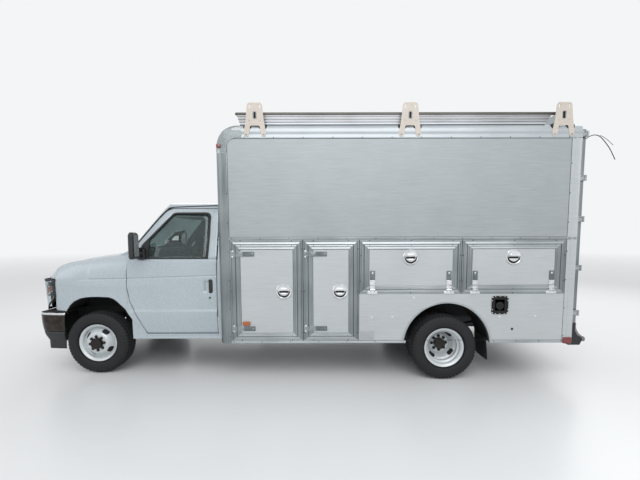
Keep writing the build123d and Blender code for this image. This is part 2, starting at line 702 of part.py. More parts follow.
def steering_wheel():
    ring = Torus(STEERING_R - 14, 14)
    hub = Pos(0, 0, -6) * Cylinder(62, 28)
    spokes = Box(2 * (STEERING_R - 20), 34, 14) + Pos(0, -80, 0) * Box(34, 170, 14)
    neck = Pos(0, 0, -17) * Cylinder(20, 9.4)
    wheel = ring + hub + spokes + neck
    s, y, z = WHEEL_CENTRE
    tilt = math.radians(COLUMN_TILT)
    normal = Vector(-math.cos(tilt), 0, math.sin(tilt))
    plane = Plane(origin=(x_at(s), y, z), x_dir=(0, 1, 0), z_dir=normal)
    return plane * wheel


def mirror_unit(side):
    """Door mirror: a sail bracket on the door, two arms and a tall head."""
    y_skin = CAB_HALF_WIDTH
    foot = block(500, 560, y_skin - 60, y_skin + 24, 1345, 1395)
    arm = block(520, 560, y_skin + 10, 1120, 1362, 1392)
    head = side_prism([(527, 1363), (515, 1640), (540, 1662), (640, 1650), (628, 1375)], 1085, 1290)
    unit = Pos(0, SEAT, 0) * ((foot - greenhouse(0)) + arm + head)
    return unit if side > 0 else other_side(unit)


# ---------------------------------------------------------------- service body

def body_envelope(inset):
    half = BODY_HALF_WIDTH - inset
    front, rear = BODY_FRONT + inset, BODY_REAR
    low, top = BODY_BOTTOM, BODY_TOP - inset
    plan = [(front, -half), (rear, -half), (rear, half), (front, half)]
    upright = plan_prism(plan, low, top, [((front, -half), POST_RADIUS - inset),
                                          ((front, half), POST_RADIUS - inset)])
    side = [(front, low), (rear, low), (rear, top), (front, top)]
    profile = side_prism(side, -half, half, [((front, top), CAP_RADIUS - inset)])
    end = [(-half, low), (half, low), (half, top), (-half, top)]
    section = prism(end, "x", x_at(rear), x_at(front), [((half, top), ROOF_EDGE_RADIUS - inset),
                                                        ((-half, top), ROOF_EDGE_RADIUS - inset)])
    return upright & profile & section


def body_shell():
    return body_envelope(0) - body_envelope(BODY_WALL) - block(BODY_FRONT + 200, BODY_REAR, -WALL_IN,
                                                               WALL_IN, 0, 700)


def box_front_wall(shell):
    wall = shell & block(BODY_FRONT, BODY_FRONT + FRONT_POST, -CLEAR_OUT, CLEAR_OUT, BODY_BOTTOM, TOP_RAIL_Z)
    wall = wall - block(BODY_FRONT - 5, BODY_FRONT + 80, -PASS_HALF, PASS_HALF, BODY_FLOOR_TOP + 20,
                        PASS_TOP)
    return wall - block(BODY_FRONT - 5, BODY_FRONT + 80, -LOCKER_BACK, LOCKER_BACK, 0, RAIL_TOP)


def box_roof(shell):
    return shell & block(BODY_FRONT, BODY_REAR, -CLEAR_OUT, CLEAR_OUT, TOP_RAIL_Z, BODY_TOP)


EAR_DEPTH = 17.0


def hinge_pin(at, along, outward, toward):
    """Jamb half of a strap hinge: a plate, two ears and a pin. Toward points at the door."""
    o, a, n, t = at, along, outward, toward
    plane = Plane(origin=o, x_dir=t, z_dir=a)
    sign = 1 if plane.y_dir.dot(n) > 0 else -1
    out = Pos(-28, sign * (3 - PIN_OUT), 0) * Box(32, 6, 54)
    for k in (-1, 1):
        ear = Pos(-10, sign * (EAR_DEPTH / 2 - PIN_OUT), k * 20) * Box(20, EAR_DEPTH, 14)
        out = out + ear + Pos(0, 0, k * 20) * Cylinder(PIN_R + 4, 14)
    out = out + Cylinder(PIN_R, 54)
    return plane * out


def hinge_strap(at, along, outward, toward, length):
    """Door half of a strap hinge: a long strap with a barrel round the pin."""
    plane = Plane(origin=at, x_dir=toward, z_dir=along)
    sign = 1 if plane.y_dir.dot(outward) > 0 else -1
    strap = Pos(14 + length / 2, sign * (3 - PIN_OUT), 0) * Box(length, 6, 54)
    lug = Pos(14, sign * (3 - PIN_OUT), 0) * Box(28, 6, 20)
    barrel = Cylinder(PIN_R + 4, 22) - Cylinder(PIN_R + PIN_CLEARANCE, 30)
    lug = lug - Cylinder(PIN_R + PIN_CLEARANCE, 40)
    return plane * (strap + lug + barrel)


STRAP_TOP = 1420.0
STRAP_LOW = 594.0
STRAP_LENGTH = 206.0
DROP_STRAP = 205.0
DROP_INSET = 95.0
LATCH_R = 84.0
SIDE_UP = Vector(0, 0, 1)
SIDE_OUT = Vector(0, 1, 0)
SIDE_REAR = Vector(-1, 0, 0)


def hinge_places(name):
    """Pin centre, pin direction and strap direction of each hinge of one locker door."""
    s0, s1, bottom, edge = LOCKER_DOORS[name]
    y = BODY_HALF_WIDTH + PIN_OUT
    if edge == "front":
        return [(Vector(x_at(s0), y, z), SIDE_UP, SIDE_REAR, STRAP_LENGTH)
                for z in (STRAP_LOW, STRAP_TOP)]
    return [(Vector(x_at(s), y, bottom), Vector(1, 0, 0), SIDE_UP, DROP_STRAP)
            for s in (s0 + DROP_INSET, s1 - DROP_INSET)]


def latch_centre(name):
    s0, s1, bottom, edge = LOCKER_DOORS[name]
    if edge == "front":
        return s1 - 150, 1010.0
    return (s0 + s1) / 2 - 4, DOOR_TOP - 140.0


def locker_door(name):
    """A flush leaf with its strap hinges and a round paddle latch; the first one carries a side lamp."""
    s0, s1, bottom, edge = LOCKER_DOORS[name]
    half = DOOR_GAP / 2
    leaf = block(s0 + half, s1 - half, WALL_IN, BODY_HALF_WIDTH, bottom + half, DOOR_TOP - half)
    for at, along, toward, length in hinge_places(name):
        leaf = leaf + hinge_strap(at, along, SIDE_OUT, toward, length)
    s, z = latch_centre(name)
    latch = Pos(x_at(s), BODY_HALF_WIDTH + 7, z) * Rot(90, 0, 0) * Cylinder(LATCH_R, 14)
    leaf = leaf + latch
    if name == "front_locker_door":
        leaf = leaf + block(s0 + 69, s0 + 153, BODY_HALF_WIDTH, BODY_HALF_WIDTH + LENS_OUT, 627, 677)
    return leaf


def box_side(shell):
    wall = shell & block(BODY_FRONT + FRONT_POST, BODY_REAR, WALL_IN, CLEAR_OUT, BODY_BOTTOM, TOP_RAIL_Z)
    half = DOOR_GAP / 2
    for s0, s1, bottom, edge in LOCKER_DOORS.values():
        wall = wall - block(s0 - half, s1 + half, WALL_IN - 60, CLEAR_OUT, bottom - half, DOOR_TOP + half)
    arch = Pos(x_at(ARCH_X), BODY_HALF_WIDTH - BODY_WALL / 2, ARCH_Z) * Rot(90, 0, 0) * Cylinder(ARCH_R, 200)
    wall = wall - arch
    for name in LOCKER_DOORS:
        for at, along, toward, length in hinge_places(name):
            wall = wall + hinge_pin(at, along, SIDE_OUT, toward)
    return wall + rear_hinge_brackets()


LOCKER_SPLITS = (1650.0, 2439.0, 3056.0, ARCH_X + 152.0, BODY_REAR - 114.0)
DROP_FLOOR = 985.0
TALL_FLOOR = 470.0


def locker():
    """One side's storage in sheet plates: backs, floors, tops and dividers that meet edge to edge."""
    s0, s1, s2, s3, s4 = LOCKER_SPLITS
    w = LOCKER_WALL
    inner = LOCKER_BACK + w
    plates = []
    for a, b, floor in ((s0, s2 + w, TALL_FLOOR), (s2 + w, s4, DROP_FLOOR)):
        plates.append(block(a, b, LOCKER_BACK, inner, floor, LOCKER_TOP))
        plates.append(block(a, b, inner, WALL_IN, floor, floor + w))
        plates.append(block(a, b, inner, WALL_IN, LOCKER_TOP - w, LOCKER_TOP))
    uprights = [(s0, s0 + w, TALL_FLOOR), (s1 - w / 2, s1 + w / 2, TALL_FLOOR), (s2, s2 + w, TALL_FLOOR),
                (s3 - w / 2, s3 + w / 2, DROP_FLOOR), (s4 - w, s4, DROP_FLOOR)]
    for a, b, floor in uprights:
        plates.append(block(a, b, inner, WALL_IN, floor + w, LOCKER_TOP - w))
    return whole(*plates)


def lockers():
    left = locker()
    return whole(left, other_side(left))


def wheelhouses():
    """Half-round liners over the rear wheels, from the lockers' line in to the frame side."""
    outer = Pos(x_at(ARCH_X), (LOCKER_BACK + WALL_IN) / 2, ARCH_Z) * Rot(90, 0, 0) * Cylinder(
        ARCH_R + 10, LOCKER_DEPTH)
    inner = Pos(x_at(ARCH_X), 900, ARCH_Z) * Rot(90, 0, 0) * Cylinder(ARCH_R, 900)
    shell = (outer - inner) & block(ARCH_X - 600, ARCH_X + 600, LOCKER_BACK, WALL_IN, BODY_BOTTOM, 900)
    return whole(shell, other_side(shell))


def box_floor():
    low = BODY_FLOOR_TOP - BODY_FLOOR_THICKNESS
    plate = block(BODY_FRONT + BODY_WALL, BODY_REAR - REAR_FRAME, -LOCKER_BACK, LOCKER_BACK, low,
                  BODY_FLOOR_TOP)
    for station in (1600, 2350, 2900, 3420, WHEELBASE + 587, BODY_REAR - 274):
        plate = plate + block(station - 30, station + 30, -690, 690, RAIL_TOP, low)
    return plate


REAR_FRAME = 60.0


def rear_frame():
    frame = block(BODY_REAR - REAR_FRAME, BODY_REAR, -WALL_IN, WALL_IN, RAIL_TOP, TOP_RAIL_Z)
    low = block(BODY_REAR - 100, BODY_REAR + 5, -LOCKER_BACK + 20, LOCKER_BACK - 20, BODY_FLOOR_TOP,
                LOCKER_TOP + 1)
    high = block(BODY_REAR - 100, BODY_REAR + 5, 99 - WALL_IN, WALL_IN - 99, LOCKER_TOP, 2560)
    return frame - low - high


REAR_PIN = (BODY_REAR + REAR_DOOR_SEAL + REAR_DOOR_THICKNESS + PIN_OUT, BODY_HALF_WIDTH - 4)
REAR_HINGES = (760.0, 1260.0, 1790.0, 2230.0, 2690.0)
REAR_EDGE = BODY_HALF_WIDTH - 31.0


def rear_hinge_brackets():
    """Blocks on the rear posts that hold the rear door pins, outboard of the doors."""
    s, y = REAR_PIN
    out = []
    for z in REAR_HINGES:
        arm = block(BODY_REAR, s + 9, y - 9, y + 4, z - 30, z + 30)
        gap = block(s - 12, s + 30, y - 30, y + 30, z - 12, z + 12)
        arm = arm - gap
        pin = Pos(x_at(s), y, z) * Cylinder(PIN_R, 60)
        out.append(arm + pin)
    return sum(out[1:], out[0])


def rear_door(side):
    inner_s = BODY_REAR + REAR_DOOR_SEAL
    outer_s = inner_s + REAR_DOOR_THICKNESS
    leaf = block(inner_s, outer_s, 4, REAR_EDGE, REAR_DOOR_BOTTOM, REAR_DOOR_TOP)
    s, y = REAR_PIN
    for z in REAR_HINGES:
        barrel = Pos(x_at(s), y, z) * Cylinder(PIN_R + 4, 22)
        strap = block(outer_s, outer_s + 6, REAR_EDGE - 170, y, z - 11, z + 11)
        bore = Pos(x_at(s), y, z) * Cylinder(PIN_R + PIN_CLEARANCE, 30)
        leaf = leaf + strap + barrel - bore
    if side > 0:
        first, second = [Vector(*p) for p in LEAD_ROUTE[:2]]
        back = first - (second - first).normalized() * 16
        leaf = leaf + rod(tuple(back), tuple(first), 12)
    return leaf if side > 0 else other_side(leaf)


def rear_bumper():
    near, back = BODY_REAR - BUMPER_LAP, BODY_REAR + 66
    outline = [(near, 385), (back + 60, 385), (back + 91, 453), (back + 70, 478), (back + 25, 500),
               (back, 555), (back, 640), (near, 640)]
    half = WALL_IN - BUMPER_END_GAP
    return side_prism(outline, -half, half) - plate_holes(near - 21, back + 10, REAR_PLATE_Z)


RACK_TUBE = (2844.0, 2925.0, 40.0)
RACK_STATIONS = (1948.0, 3590.0, BODY_REAR - 210.0)
RACK_RAIL_TOP = RACK_TUBE[1] + 11
RACK_RAIL_WIDTH = 44.0
RACK_RAIL_BEAD = 22.0


def rack_bracket(station):
    outline = [(station - 105, 2668), (station - 96, 2835), (station - 70, 3013), (station + 70, 3013),
               (station + 96, 2835), (station + 105, 2668), (station + 60, 2668), (station + 50, 2788),
               (station - 50, 2788), (station - 60, 2668)]
    return side_prism(outline, BODY_HALF_WIDTH, BODY_HALF_WIDTH + 8)


def roof_rack():
    """Cross tubes through side plates and two long rails that stand on the roof's edges."""
    low, high, width = RACK_TUBE
    result = None
    for station in RACK_STATIONS:
        tube = block(station - width / 2, station + width / 2, -BODY_HALF_WIDTH - 2, BODY_HALF_WIDTH + 2,
                     low, high)
        bracket = rack_bracket(station)
        hoop = tube + bracket + other_side(bracket)
        result = hoop if result is None else result + hoop
    first, last = RACK_STATIONS[0], RACK_STATIONS[-1]
    outer = BODY_HALF_WIDTH - ROOF_EDGE_RADIUS
    bead = RACK_RAIL_TOP - RACK_RAIL_BEAD
    rail = side_prism([(first - 217, RACK_RAIL_TOP), (first - 169, BODY_TOP), (last - 168, BODY_TOP),
                       (last - 66, bead), (last + width / 2, bead), (last + width / 2, RACK_RAIL_TOP)],
                      outer - RACK_RAIL_WIDTH, outer)
    return result + rail + other_side(rail)


# ---------------------------------------------------------------- loose lead on the rear door

LEAD_R = 4.5
LEAD_ROUTE = [(BODY_REAR + s, y, z) for s, y, z in [
    (60.0, 1120.0, 2635.0), (88.0, 1121.0, 2650.0), (138.0, 1122.0, 2688.0), (194.0, 1120.0, 2706.0),
    (252.0, 1121.0, 2692.0), (304.0, 1124.0, 2638.0), (368.0, 1121.0, 2562.0), (408.0, 1120.0, 2492.0),
    (434.0, 1122.0, 2440.0)]]
BRANCH_ROUTE = [(BODY_REAR + s, y, z) for s, y, z in [
    (252.0, 1121.0, 2697.0), (282.0, 1119.0, 2690.0), (328.0, 1118.0, 2662.0), (374.0, 1120.0, 2622.0),
    (404.0, 1121.0, 2595.0)]]


def lead_radii(route):
    points = [Vector(x_at(s), y, z) for s, y, z in route]
    radii = []
    for a, b, c in zip(points, points[1:], points[2:]):
        turn = math.radians((b - a).get_angle(c - b))
        run = min((b - a).length, (c - b).length)
        radii.append(0.45 * run / math.tan(turn / 2))
    return points, radii


def lead(route, radius):
    points, radii = lead_radii(route)
    path = FilletPolyline(*points, radius=radii)
    tube = sweep(Plane(origin=path @ 0, z_dir=path % 0) * Circle(radius), path)
    print("lead radii", [round(r) for r in radii], "length", round(path.length),
          "volume ratio", round(tube.volume / (math.pi * radius ** 2 * path.length), 4))
    return tube


def main():
    os.makedirs("parts", exist_ok=True)
    pieces = {}
    skin = nose_skin()
    wall = cab_wall()
    shell = body_shell()
    left_beam, right_beam = front_axle()
    pieces["chassis_frame"] = chassis_frame()
    pieces["front_axle"] = whole(left_beam, right_beam)
    pieces["springs"] = springs()
    pieces["left_knuckle"] = knuckle()
    pieces["left_front_rim"] = front_rim()
    pieces["left_front_tyre"] = tyre(0, FRONT_TYRE_Y)
    pieces["rear_axle"] = rear_axle()
    pieces["left_rear_rims"] = rear_rims()
    pieces["left_rear_tyres"] = whole(tyre(WHEELBASE, OUTER_TYRE_Y), tyre(WHEELBASE, INNER_TYRE_Y))
    pieces["engine"] = engine()
    pieces["driveshaft"] = driveshaft()
    pieces["exhaust"] = exhaust()
    pieces["fuel_tank"] = fuel_tank()
    pieces["cab_shell"] = cab_shell(wall)
    pieces["cab_floor"] = cab_floor()
    pieces["hood"] = hood(skin)
    pieces["fenders"] = fenders(skin)
    pieces["grille_panel"] = grille_panel()
    pieces["lamps"] = lamps()
    pieces["front_bumper"] = front_bumper()
    pieces["front_valance"] = front_valance()
    pieces["windshield"] = windshield()
    pieces["left_cab_door"] = cab_door(wall, 1)
    pieces["right_cab_door"] = cab_door(wall, -1)
    pieces["left_door_glass"] = door_glass(wall, 1)
    pieces["right_door_glass"] = door_glass(wall, -1)
    pieces["left_mirror"] = mirror_unit(1)
    pieces["seats"] = seats()
    pieces["dashboard"] = dashboard()
    pieces["steering_wheel"] = steering_wheel()
    pieces["box_floor"] = box_floor()
    pieces["box_front_wall"] = box_front_wall(shell)
    pieces["box_roof"] = box_roof(shell)
    pieces["left_box_side"] = box_side(shell)
    pieces["lockers"] = lockers()
    pieces["wheelhouses"] = wheelhouses()
    pieces["rear_frame"] = rear_frame()
    pieces["rear_bumper"] = rear_bumper()
    pieces["roof_rack"] = roof_rack()
    for name in LOCKER_DOORS:
        pieces["left_" + name] = locker_door(name)
    pieces["left_rear_door"] = rear_door(1)
    pieces["right_rear_door"] = rear_door(-1)
    pieces["lamp_lead"] = lead(LEAD_ROUTE, LEAD_R)
    pieces["lamp_lead_branch"] = lead(BRANCH_ROUTE, 3.0)
    for name in [n for n in pieces if n.startswith("left_")]:
        twin = name.replace("left_", "right_", 1)
        if twin not in pieces:
            pieces[twin] = other_side(pieces[name])
    for name, shape in pieces.items():
        export_step(shape, os.path.join("parts", name + ".step"))
    print(len(pieces), "pieces")


main()
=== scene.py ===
import json
import math
import bmesh
import bpy
import numpy as np
from mathutils.geometry import tessellate_polygon
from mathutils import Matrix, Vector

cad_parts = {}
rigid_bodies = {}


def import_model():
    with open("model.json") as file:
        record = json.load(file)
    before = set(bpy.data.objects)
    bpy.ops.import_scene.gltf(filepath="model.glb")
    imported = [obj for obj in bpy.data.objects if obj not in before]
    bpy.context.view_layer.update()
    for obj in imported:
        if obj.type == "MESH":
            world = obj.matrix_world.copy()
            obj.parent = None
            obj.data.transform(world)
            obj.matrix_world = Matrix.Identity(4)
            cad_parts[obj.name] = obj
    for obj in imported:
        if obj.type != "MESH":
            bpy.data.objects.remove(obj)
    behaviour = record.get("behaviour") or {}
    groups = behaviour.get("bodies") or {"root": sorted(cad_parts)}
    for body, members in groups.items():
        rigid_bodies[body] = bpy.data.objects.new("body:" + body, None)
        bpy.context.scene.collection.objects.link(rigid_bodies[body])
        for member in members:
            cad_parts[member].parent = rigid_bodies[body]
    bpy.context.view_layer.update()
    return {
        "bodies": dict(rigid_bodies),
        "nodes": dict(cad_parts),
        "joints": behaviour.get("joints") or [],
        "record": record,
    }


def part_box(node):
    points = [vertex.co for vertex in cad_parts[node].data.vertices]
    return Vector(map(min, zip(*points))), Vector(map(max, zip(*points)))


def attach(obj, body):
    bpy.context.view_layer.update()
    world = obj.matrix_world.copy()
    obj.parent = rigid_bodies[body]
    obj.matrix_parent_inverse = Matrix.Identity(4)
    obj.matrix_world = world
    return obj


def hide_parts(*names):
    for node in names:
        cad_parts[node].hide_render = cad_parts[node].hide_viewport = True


# Looks for a full-size cutaway van with an aluminium service body.
# Tables are in millimetres: station behind the front axle, distance left of the middle, height.

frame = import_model()
nodes = frame["nodes"]
mm = 0.001
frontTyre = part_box("left_front_tyre")
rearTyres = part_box("left_rear_tyres")
axleX = (frontTyre[0].x + frontTyre[1].x) / 2  # the front axle's place along the van
wheelbase = (axleX - (rearTyres[0].x + rearTyres[1].x) / 2) / mm


# camera and the two bare-ended leads

cameraPlace = {"spot": (-0.3222, 5.2705, 1.6185), "down": 5.086, "yaw": -0.137, "roll": 0.14, "lens": 20.916,
               "shift": (-0.0163, 0.0449)}
cameraData = bpy.data.cameras.new("camera")
cameraData.lens, cameraData.sensor_width = cameraPlace["lens"], 36
cameraData.shift_x, cameraData.shift_y = cameraPlace["shift"]
cameraData.clip_end = 200
camera = bpy.data.objects.new("camera", cameraData)
bpy.context.scene.collection.objects.link(camera)
camera.location = cameraPlace["spot"]
turns = (90 - cameraPlace["down"], cameraPlace["roll"], 180 + cameraPlace["yaw"])
camera.rotation_euler = [math.radians(a) for a in turns]
bpy.context.scene.camera = camera


def spot(station, across, height):
    # stations, sides and heights in millimetres turned into points in metres, as whole arrays
    s, y, z = np.broadcast_arrays(np.asarray(station, float), across, height)
    return np.stack([axleX - s * mm, y * mm, z * mm], axis=-1)


leads = {
    "lamp_lead": {"route": [(5484, 1120, 2635), (5512, 1121, 2650), (5562, 1122, 2688), (5618, 1120, 2706),
                            (5676, 1121, 2692), (5728, 1124, 2638), (5792, 1121, 2562), (5832, 1120, 2492),
                            (5858, 1122, 2440)],
                  "radius": 4.5, "length": 0.523},
    "lamp_lead_branch": {"route": [(5676, 1121, 2697), (5706, 1119, 2690), (5752, 1118, 2662), (5798, 1120, 2622),
                                   (5828, 1121, 2595)],
                         "radius": 3.0, "length": 0.186},
}


def makeLead(name, plan):
    # one smooth NURBS line through the air whose control points are the route, with a round bevel
    curve = bpy.data.curves.new(name + "_line", "CURVE")
    curve.dimensions = "3D"
    spline = curve.splines.new("NURBS")
    line = spot(*np.array(plan["route"], float).T)
    spline.points.add(len(line) - 1)
    spline.points.foreach_set("co", np.c_[line, np.ones(len(line))].ravel())
    spline.order_u, spline.use_endpoint_u, spline.resolution_u = 3, True, 12
    curve.bevel_depth, curve.bevel_resolution, curve.use_fill_caps = plan["radius"] * mm, 3, True
    lead = bpy.data.objects.new(name + "_flex", curve)
    bpy.context.scene.collection.objects.link(lead)
    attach(lead, "left_rear_door")
    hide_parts(name)
    return lead


leadPieces = {name: makeLead(name, plan) for name, plan in leads.items()}
print("camera and leads placed")


# materials

def linear(hexColour):
    # an sRGB hex value turned to the linear colour that the shader wants
    value = np.array([int(hexColour[i:i + 2], 16) for i in (1, 3, 5)]) / 255
    value = np.where(value <= 0.04045, value / 12.92, ((value + 0.055) / 1.055) ** 2.4)
    return (*value.tolist(), 1.0)


def addNode(tree, kind, sockets=None, **settings):
    # one node with its settings; a socket given another node's output is linked, and anything else is set
    node = tree.nodes.new(kind)
    for key, value in settings.items():
        setattr(node, key, value)
    for key, value in (sockets or {}).items():
        if isinstance(value, bpy.types.NodeSocket):
            tree.links.new(value, node.inputs[key])
        else:
            node.inputs[key].default_value = value
    return node


def freshTree(owner):
    # the node tree of a material or a world, emptied
    owner.use_nodes = True
    owner.node_tree.nodes.clear()
    return owner.node_tree


def finish(name, dark, light, grain, rough, bump, metal, more={}):
    # two close colours mixed by noise of the real grain size, which also moves the roughness and lifts the surface
    material = bpy.data.materials.new(name)
    tree = freshTree(material)
    place = addNode(tree, "ShaderNodeTexCoord")
    # grain is the pattern's size in millimetres, either one number or one each along x, y and z
    stretch = [1 / (size * mm) for size in np.broadcast_to(grain, 3).tolist()]
    scaled = addNode(tree, "ShaderNodeMapping", {"Vector": place.outputs["Object"], "Scale": stretch})
    fine = addNode(tree, "ShaderNodeTexNoise", {"Vector": scaled.outputs[0], "Scale": 1.0, "Detail": 3.0})
    broad = addNode(tree, "ShaderNodeTexNoise", {"Vector": place.outputs["Object"], "Detail": 2.0,
                                                 "Scale": more.get("broad", 2.5)})
    both = addNode(tree, "ShaderNodeMix", {"Factor": more.get("broadShare", 0.4),
                                           "A": fine.outputs["Fac"], "B": broad.outputs["Fac"]})
    ramp = addNode(tree, "ShaderNodeValToRGB", {"Fac": both.outputs[0]})
    ramp.color_ramp.elements[0].position, ramp.color_ramp.elements[1].position = more.get("spread", (0.35, 0.65))
    ramp.color_ramp.elements[0].color, ramp.color_ramp.elements[1].color = linear(dark), linear(light)
    rough = addNode(tree, "ShaderNodeMapRange", {"Value": both.outputs[0], "From Min": 0.3, "From Max": 0.7,
                                                 "To Min": rough[0], "To Max": rough[1]})
    lift = addNode(tree, "ShaderNodeBump", {"Height": fine.outputs["Fac"], "Strength": bump,
                                            "Distance": more.get("depth", 0.2) * mm})
    shader = addNode(tree, "ShaderNodeBsdfPrincipled", {"Base Color": ramp.outputs[0], "Roughness": rough.outputs[0],
                                                        "Normal": lift.outputs[0], "Metallic": metal})
    for key, value in more.get("shader", {}).items():
        shader.inputs[key].default_value = value
    addNode(tree, "ShaderNodeOutputMaterial", {"Surface": shader.outputs[0]})
    return material


glossy = {"shader": {"Coat Weight": 1.0, "Coat Roughness": 0.03}}
# rows of darker colour, lighter colour, grain in millimetres, roughness range, bump, metal and anything else
finishes = {
    # polyester paint under lacquer, sprayed and baked: pale silver white with a faint flake and orange peel
    "bakedSilverPaint": ("#A3AEB5", "#B0BAC0", 6, (0.22, 0.34), 0.05, 0.12,
                         {"broadShare": 0.2, "shader": {"Coat Weight": 0.3, "Coat Roughness": 0.12}}),
    # coil-coated aluminium sheet, rolled: even light grey with a weak sheen and slow waves
    "coatedSheet": ("#B0B5B7", "#B9BEC0", (160, 160, 7), (0.36, 0.46), 0.04, 0.15, {"broadShare": 0.35}),
    # the same coil-coated sheet on the broad flank panels, a shade deeper and with slower waves
    "flankSheet": ("#979D9F", "#A3A9AC", (160, 160, 7), (0.36, 0.46), 0.04, 0.15, {"broadShare": 0.35}),
    # aluminium extrusion, brushed lengthways and left bare: long fine scratches that streak the light
    "brushedAlong": ("#8B9295", "#C2C8CB", (420, 5, 5), (0.28, 0.46), 0.25, 0.85,
                     {"spread": (0.25, 0.75), "broadShare": 0.45}),
    # painted shade: the same extrusion on upright lengths, coloured darker to stand in for the weaker sheen that
    # upright brushing catches
    "brushedUpright": ("#666D70", "#A2A9AC", (5, 5, 420), (0.28, 0.46), 0.25, 0.85,
                       {"spread": (0.25, 0.75), "broadShare": 0.45}),
    # aluminium roof rail, bright anodised: almost white with fine lengthways lines
    "brightRail": ("#A6ADB2", "#B6BDC1", (500, 6, 3), (0.3, 0.42), 0.12, 0.35),
    # rack rail, mill finish gone dull outdoors: grey with a brown cast
    "weatheredRail": ("#8D8E90", "#B4B6BA", (500, 4, 4), (0.35, 0.5), 0.25, 0.6),
    "darkBead": ("#4B4945", "#6A6762", (200, 5, 5), (0.4, 0.55), 0.3, 0.6),
    # sand-cast aluminium, shot blasted: dull grey with a fine tooth
    "castAluminium": ("#727A7D", "#A4ABAE", 14, (0.42, 0.58), 0.4, 0.6, {"spread": (0.3, 0.7)}),
    # chromed steel and stainless, polished: near mirror
    "chromedSteel": ("#D6D9DB", "#EEF0F1", 40, (0.05, 0.12), 0.02, 1.0),
    # painted reflection: the same plating, coloured brown grey to stand in for the dark ground it mirrors
    "shadedChrome": ("#332F2D", "#4E4845", 60, (0.1, 0.2), 0.02, 1.0),
    "stainlessStrap": ("#7C8284", "#A6ACAE", (60, 6, 6), (0.24, 0.38), 0.15, 0.95),
    "darkSteelPlate": ("#5B6163", "#82898B", (40, 6, 6), (0.3, 0.45), 0.2, 0.85),
    # e-coated frame steel: matt black with dust
    "blackFrameSteel": ("#17191A", "#26292A", 12, (0.5, 0.7), 0.3, 0.0, {"broad": 5}),
    # powder-coated pressed steel: satin light grey
    "paintedWheelSteel": ("#B9BFC2", "#CDD3D5", 5, (0.3, 0.42), 0.1, 0.2,
                          {"shader": {"Coat Weight": 0.3, "Coat Roughness": 0.2}}),
    # rusty and oiled hub castings behind the wheel nuts
    "darkHubIron": ("#1E1D1C", "#3D3936", 7, (0.4, 0.65), 0.5, 0.6),
    # vulcanised tyre rubber, moulded: near black with a soft bloom
    "mouldedRubber": ("#0A0B0E", "#131419", 9, (0.62, 0.8), 0.25, 0.0),
    # polypropylene, moulded with a leather-like grain: satin black
    "grainedBlackPlastic": ("#191B1D", "#26282B", 3, (0.4, 0.55), 0.35, 0.0),
    # ABS dashboard and trim, moulded: mid grey, matt
    "trimGreyPlastic": ("#4A4E52", "#5B6064", 3, (0.55, 0.7), 0.3, 0.0),
    # moulded step pad, scuffed: warm mid grey
    "stepGrey": ("#6E686B", "#898386", 12, (0.4, 0.55), 0.3, 0.0),
    # EPDM seal, extruded: dull black
    "sealRubber": ("#131415", "#1E2021", 20, (0.6, 0.75), 0.1, 0.0),
    # black holes and shadow liners: unlit sheet in textured black
    "linerBlack": ("#08090A", "#101213", 10, (0.7, 0.9), 0.3, 0.0),
    # powder-coated steel brackets, warm stone colour
    "stonePowderCoat": ("#B7AEA4", "#CDC6BD", 4, (0.42, 0.58), 0.25, 0.0),
    # polycarbonate lenses, moulded: clear, amber and red
    "amberLens": ("#8A3F08", "#A85412", 6, (0.1, 0.2), 0.3, 0.0, glossy),
    "redLens": ("#6E1216", "#8E1A1E", 6, (0.1, 0.2), 0.3, 0.0, glossy),
    "darkRedLens": ("#5A1114", "#7E1A1E", 6, (0.12, 0.22), 0.2, 0.0, glossy),
    "reflectorChrome": ("#B9BEC2", "#DDE1E4", 9, (0.1, 0.2), 0.4, 0.9),
    # woven polyester seat cloth: charcoal, with threads about 1.5 mm apart drawn at 4 mm so that they show
    "wovenSeatCloth": ("#3E4247", "#5A5F64", 4, (0.85, 0.95), 0.5, 0.0,
                       {"depth": 0.6, "shader": {"Sheen Weight": 0.4, "Sheen Roughness": 0.5}}),
    # grey cast iron, sand cast and oily
    "castIron": ("#3A3C3D", "#55585A", 8, (0.5, 0.7), 0.5, 0.5),
    # PVC cable sheath, extruded: glossy black
    "leadSheath": ("#0F1416", "#1B2428", 15, (0.25, 0.4), 0.1, 0.0),
    "tealSheath": ("#2C5C68", "#3F7A88", 15, (0.25, 0.4), 0.1, 0.0),
    # galvanised and white-coated sheet inside the lockers and body
    "insideSheet": ("#B8BDBF", "#C9CDCE", 30, (0.45, 0.6), 0.1, 0.0),
    # plywood deck, phenolic faced: dark brown grey
    "facedPly": ("#4A4138", "#5C5247", (90, 8, 8), (0.5, 0.65), 0.2, 0.0),
    # blank plate places and their surrounds: bare satin aluminium
    "blankPlate": ("#A5A9AC", "#B7BBBE", 8, (0.35, 0.5), 0.1, 0.5),
}
paint = {name: finish(name, *row) for name, row in finishes.items()}


def glassFinish(name, tint, rough, clear=1.0):
    # float glass: a thin tinted pane that passes light and mirrors the room at a glance
    material = bpy.data.materials.new(name)
    tree = freshTree(material)
    place = addNode(tree, "ShaderNodeTexCoord")
    haze = addNode(tree, "ShaderNodeTexNoise", {"Vector": place.outputs["Object"], "Scale": 9.0, "Detail": 2.0})
    soft = addNode(tree, "ShaderNodeMapRange", {"Value": haze.outputs["Fac"], "To Min": rough, "To Max": rough + 0.03})
    shader = addNode(tree, "ShaderNodeBsdfPrincipled", {"Base Color": linear(tint), "Roughness": soft.outputs[0],
                                                        "Transmission Weight": clear, "IOR": 1.45})
    addNode(tree, "ShaderNodeOutputMaterial", {"Surface": shader.outputs[0]})
    return material


paint["tintedGlass"] = glassFinish("tintedGlass", "#7F8F90", 0.01, 0.88)
paint["clearGlass"] = glassFinish("clearGlass", "#B9CAC6", 0.01)
paint["clearLens"] = glassFinish("clearLens", "#E4EAEC", 0.03)
for name in leadPieces:
    leadPieces[name].data.materials.append(paint["leadSheath" if name == "lamp_lead" else "tealSheath"])
print("finishes mixed:", len(paint))


# shapes worked out with numpy: each is a pair of points in metres and faces

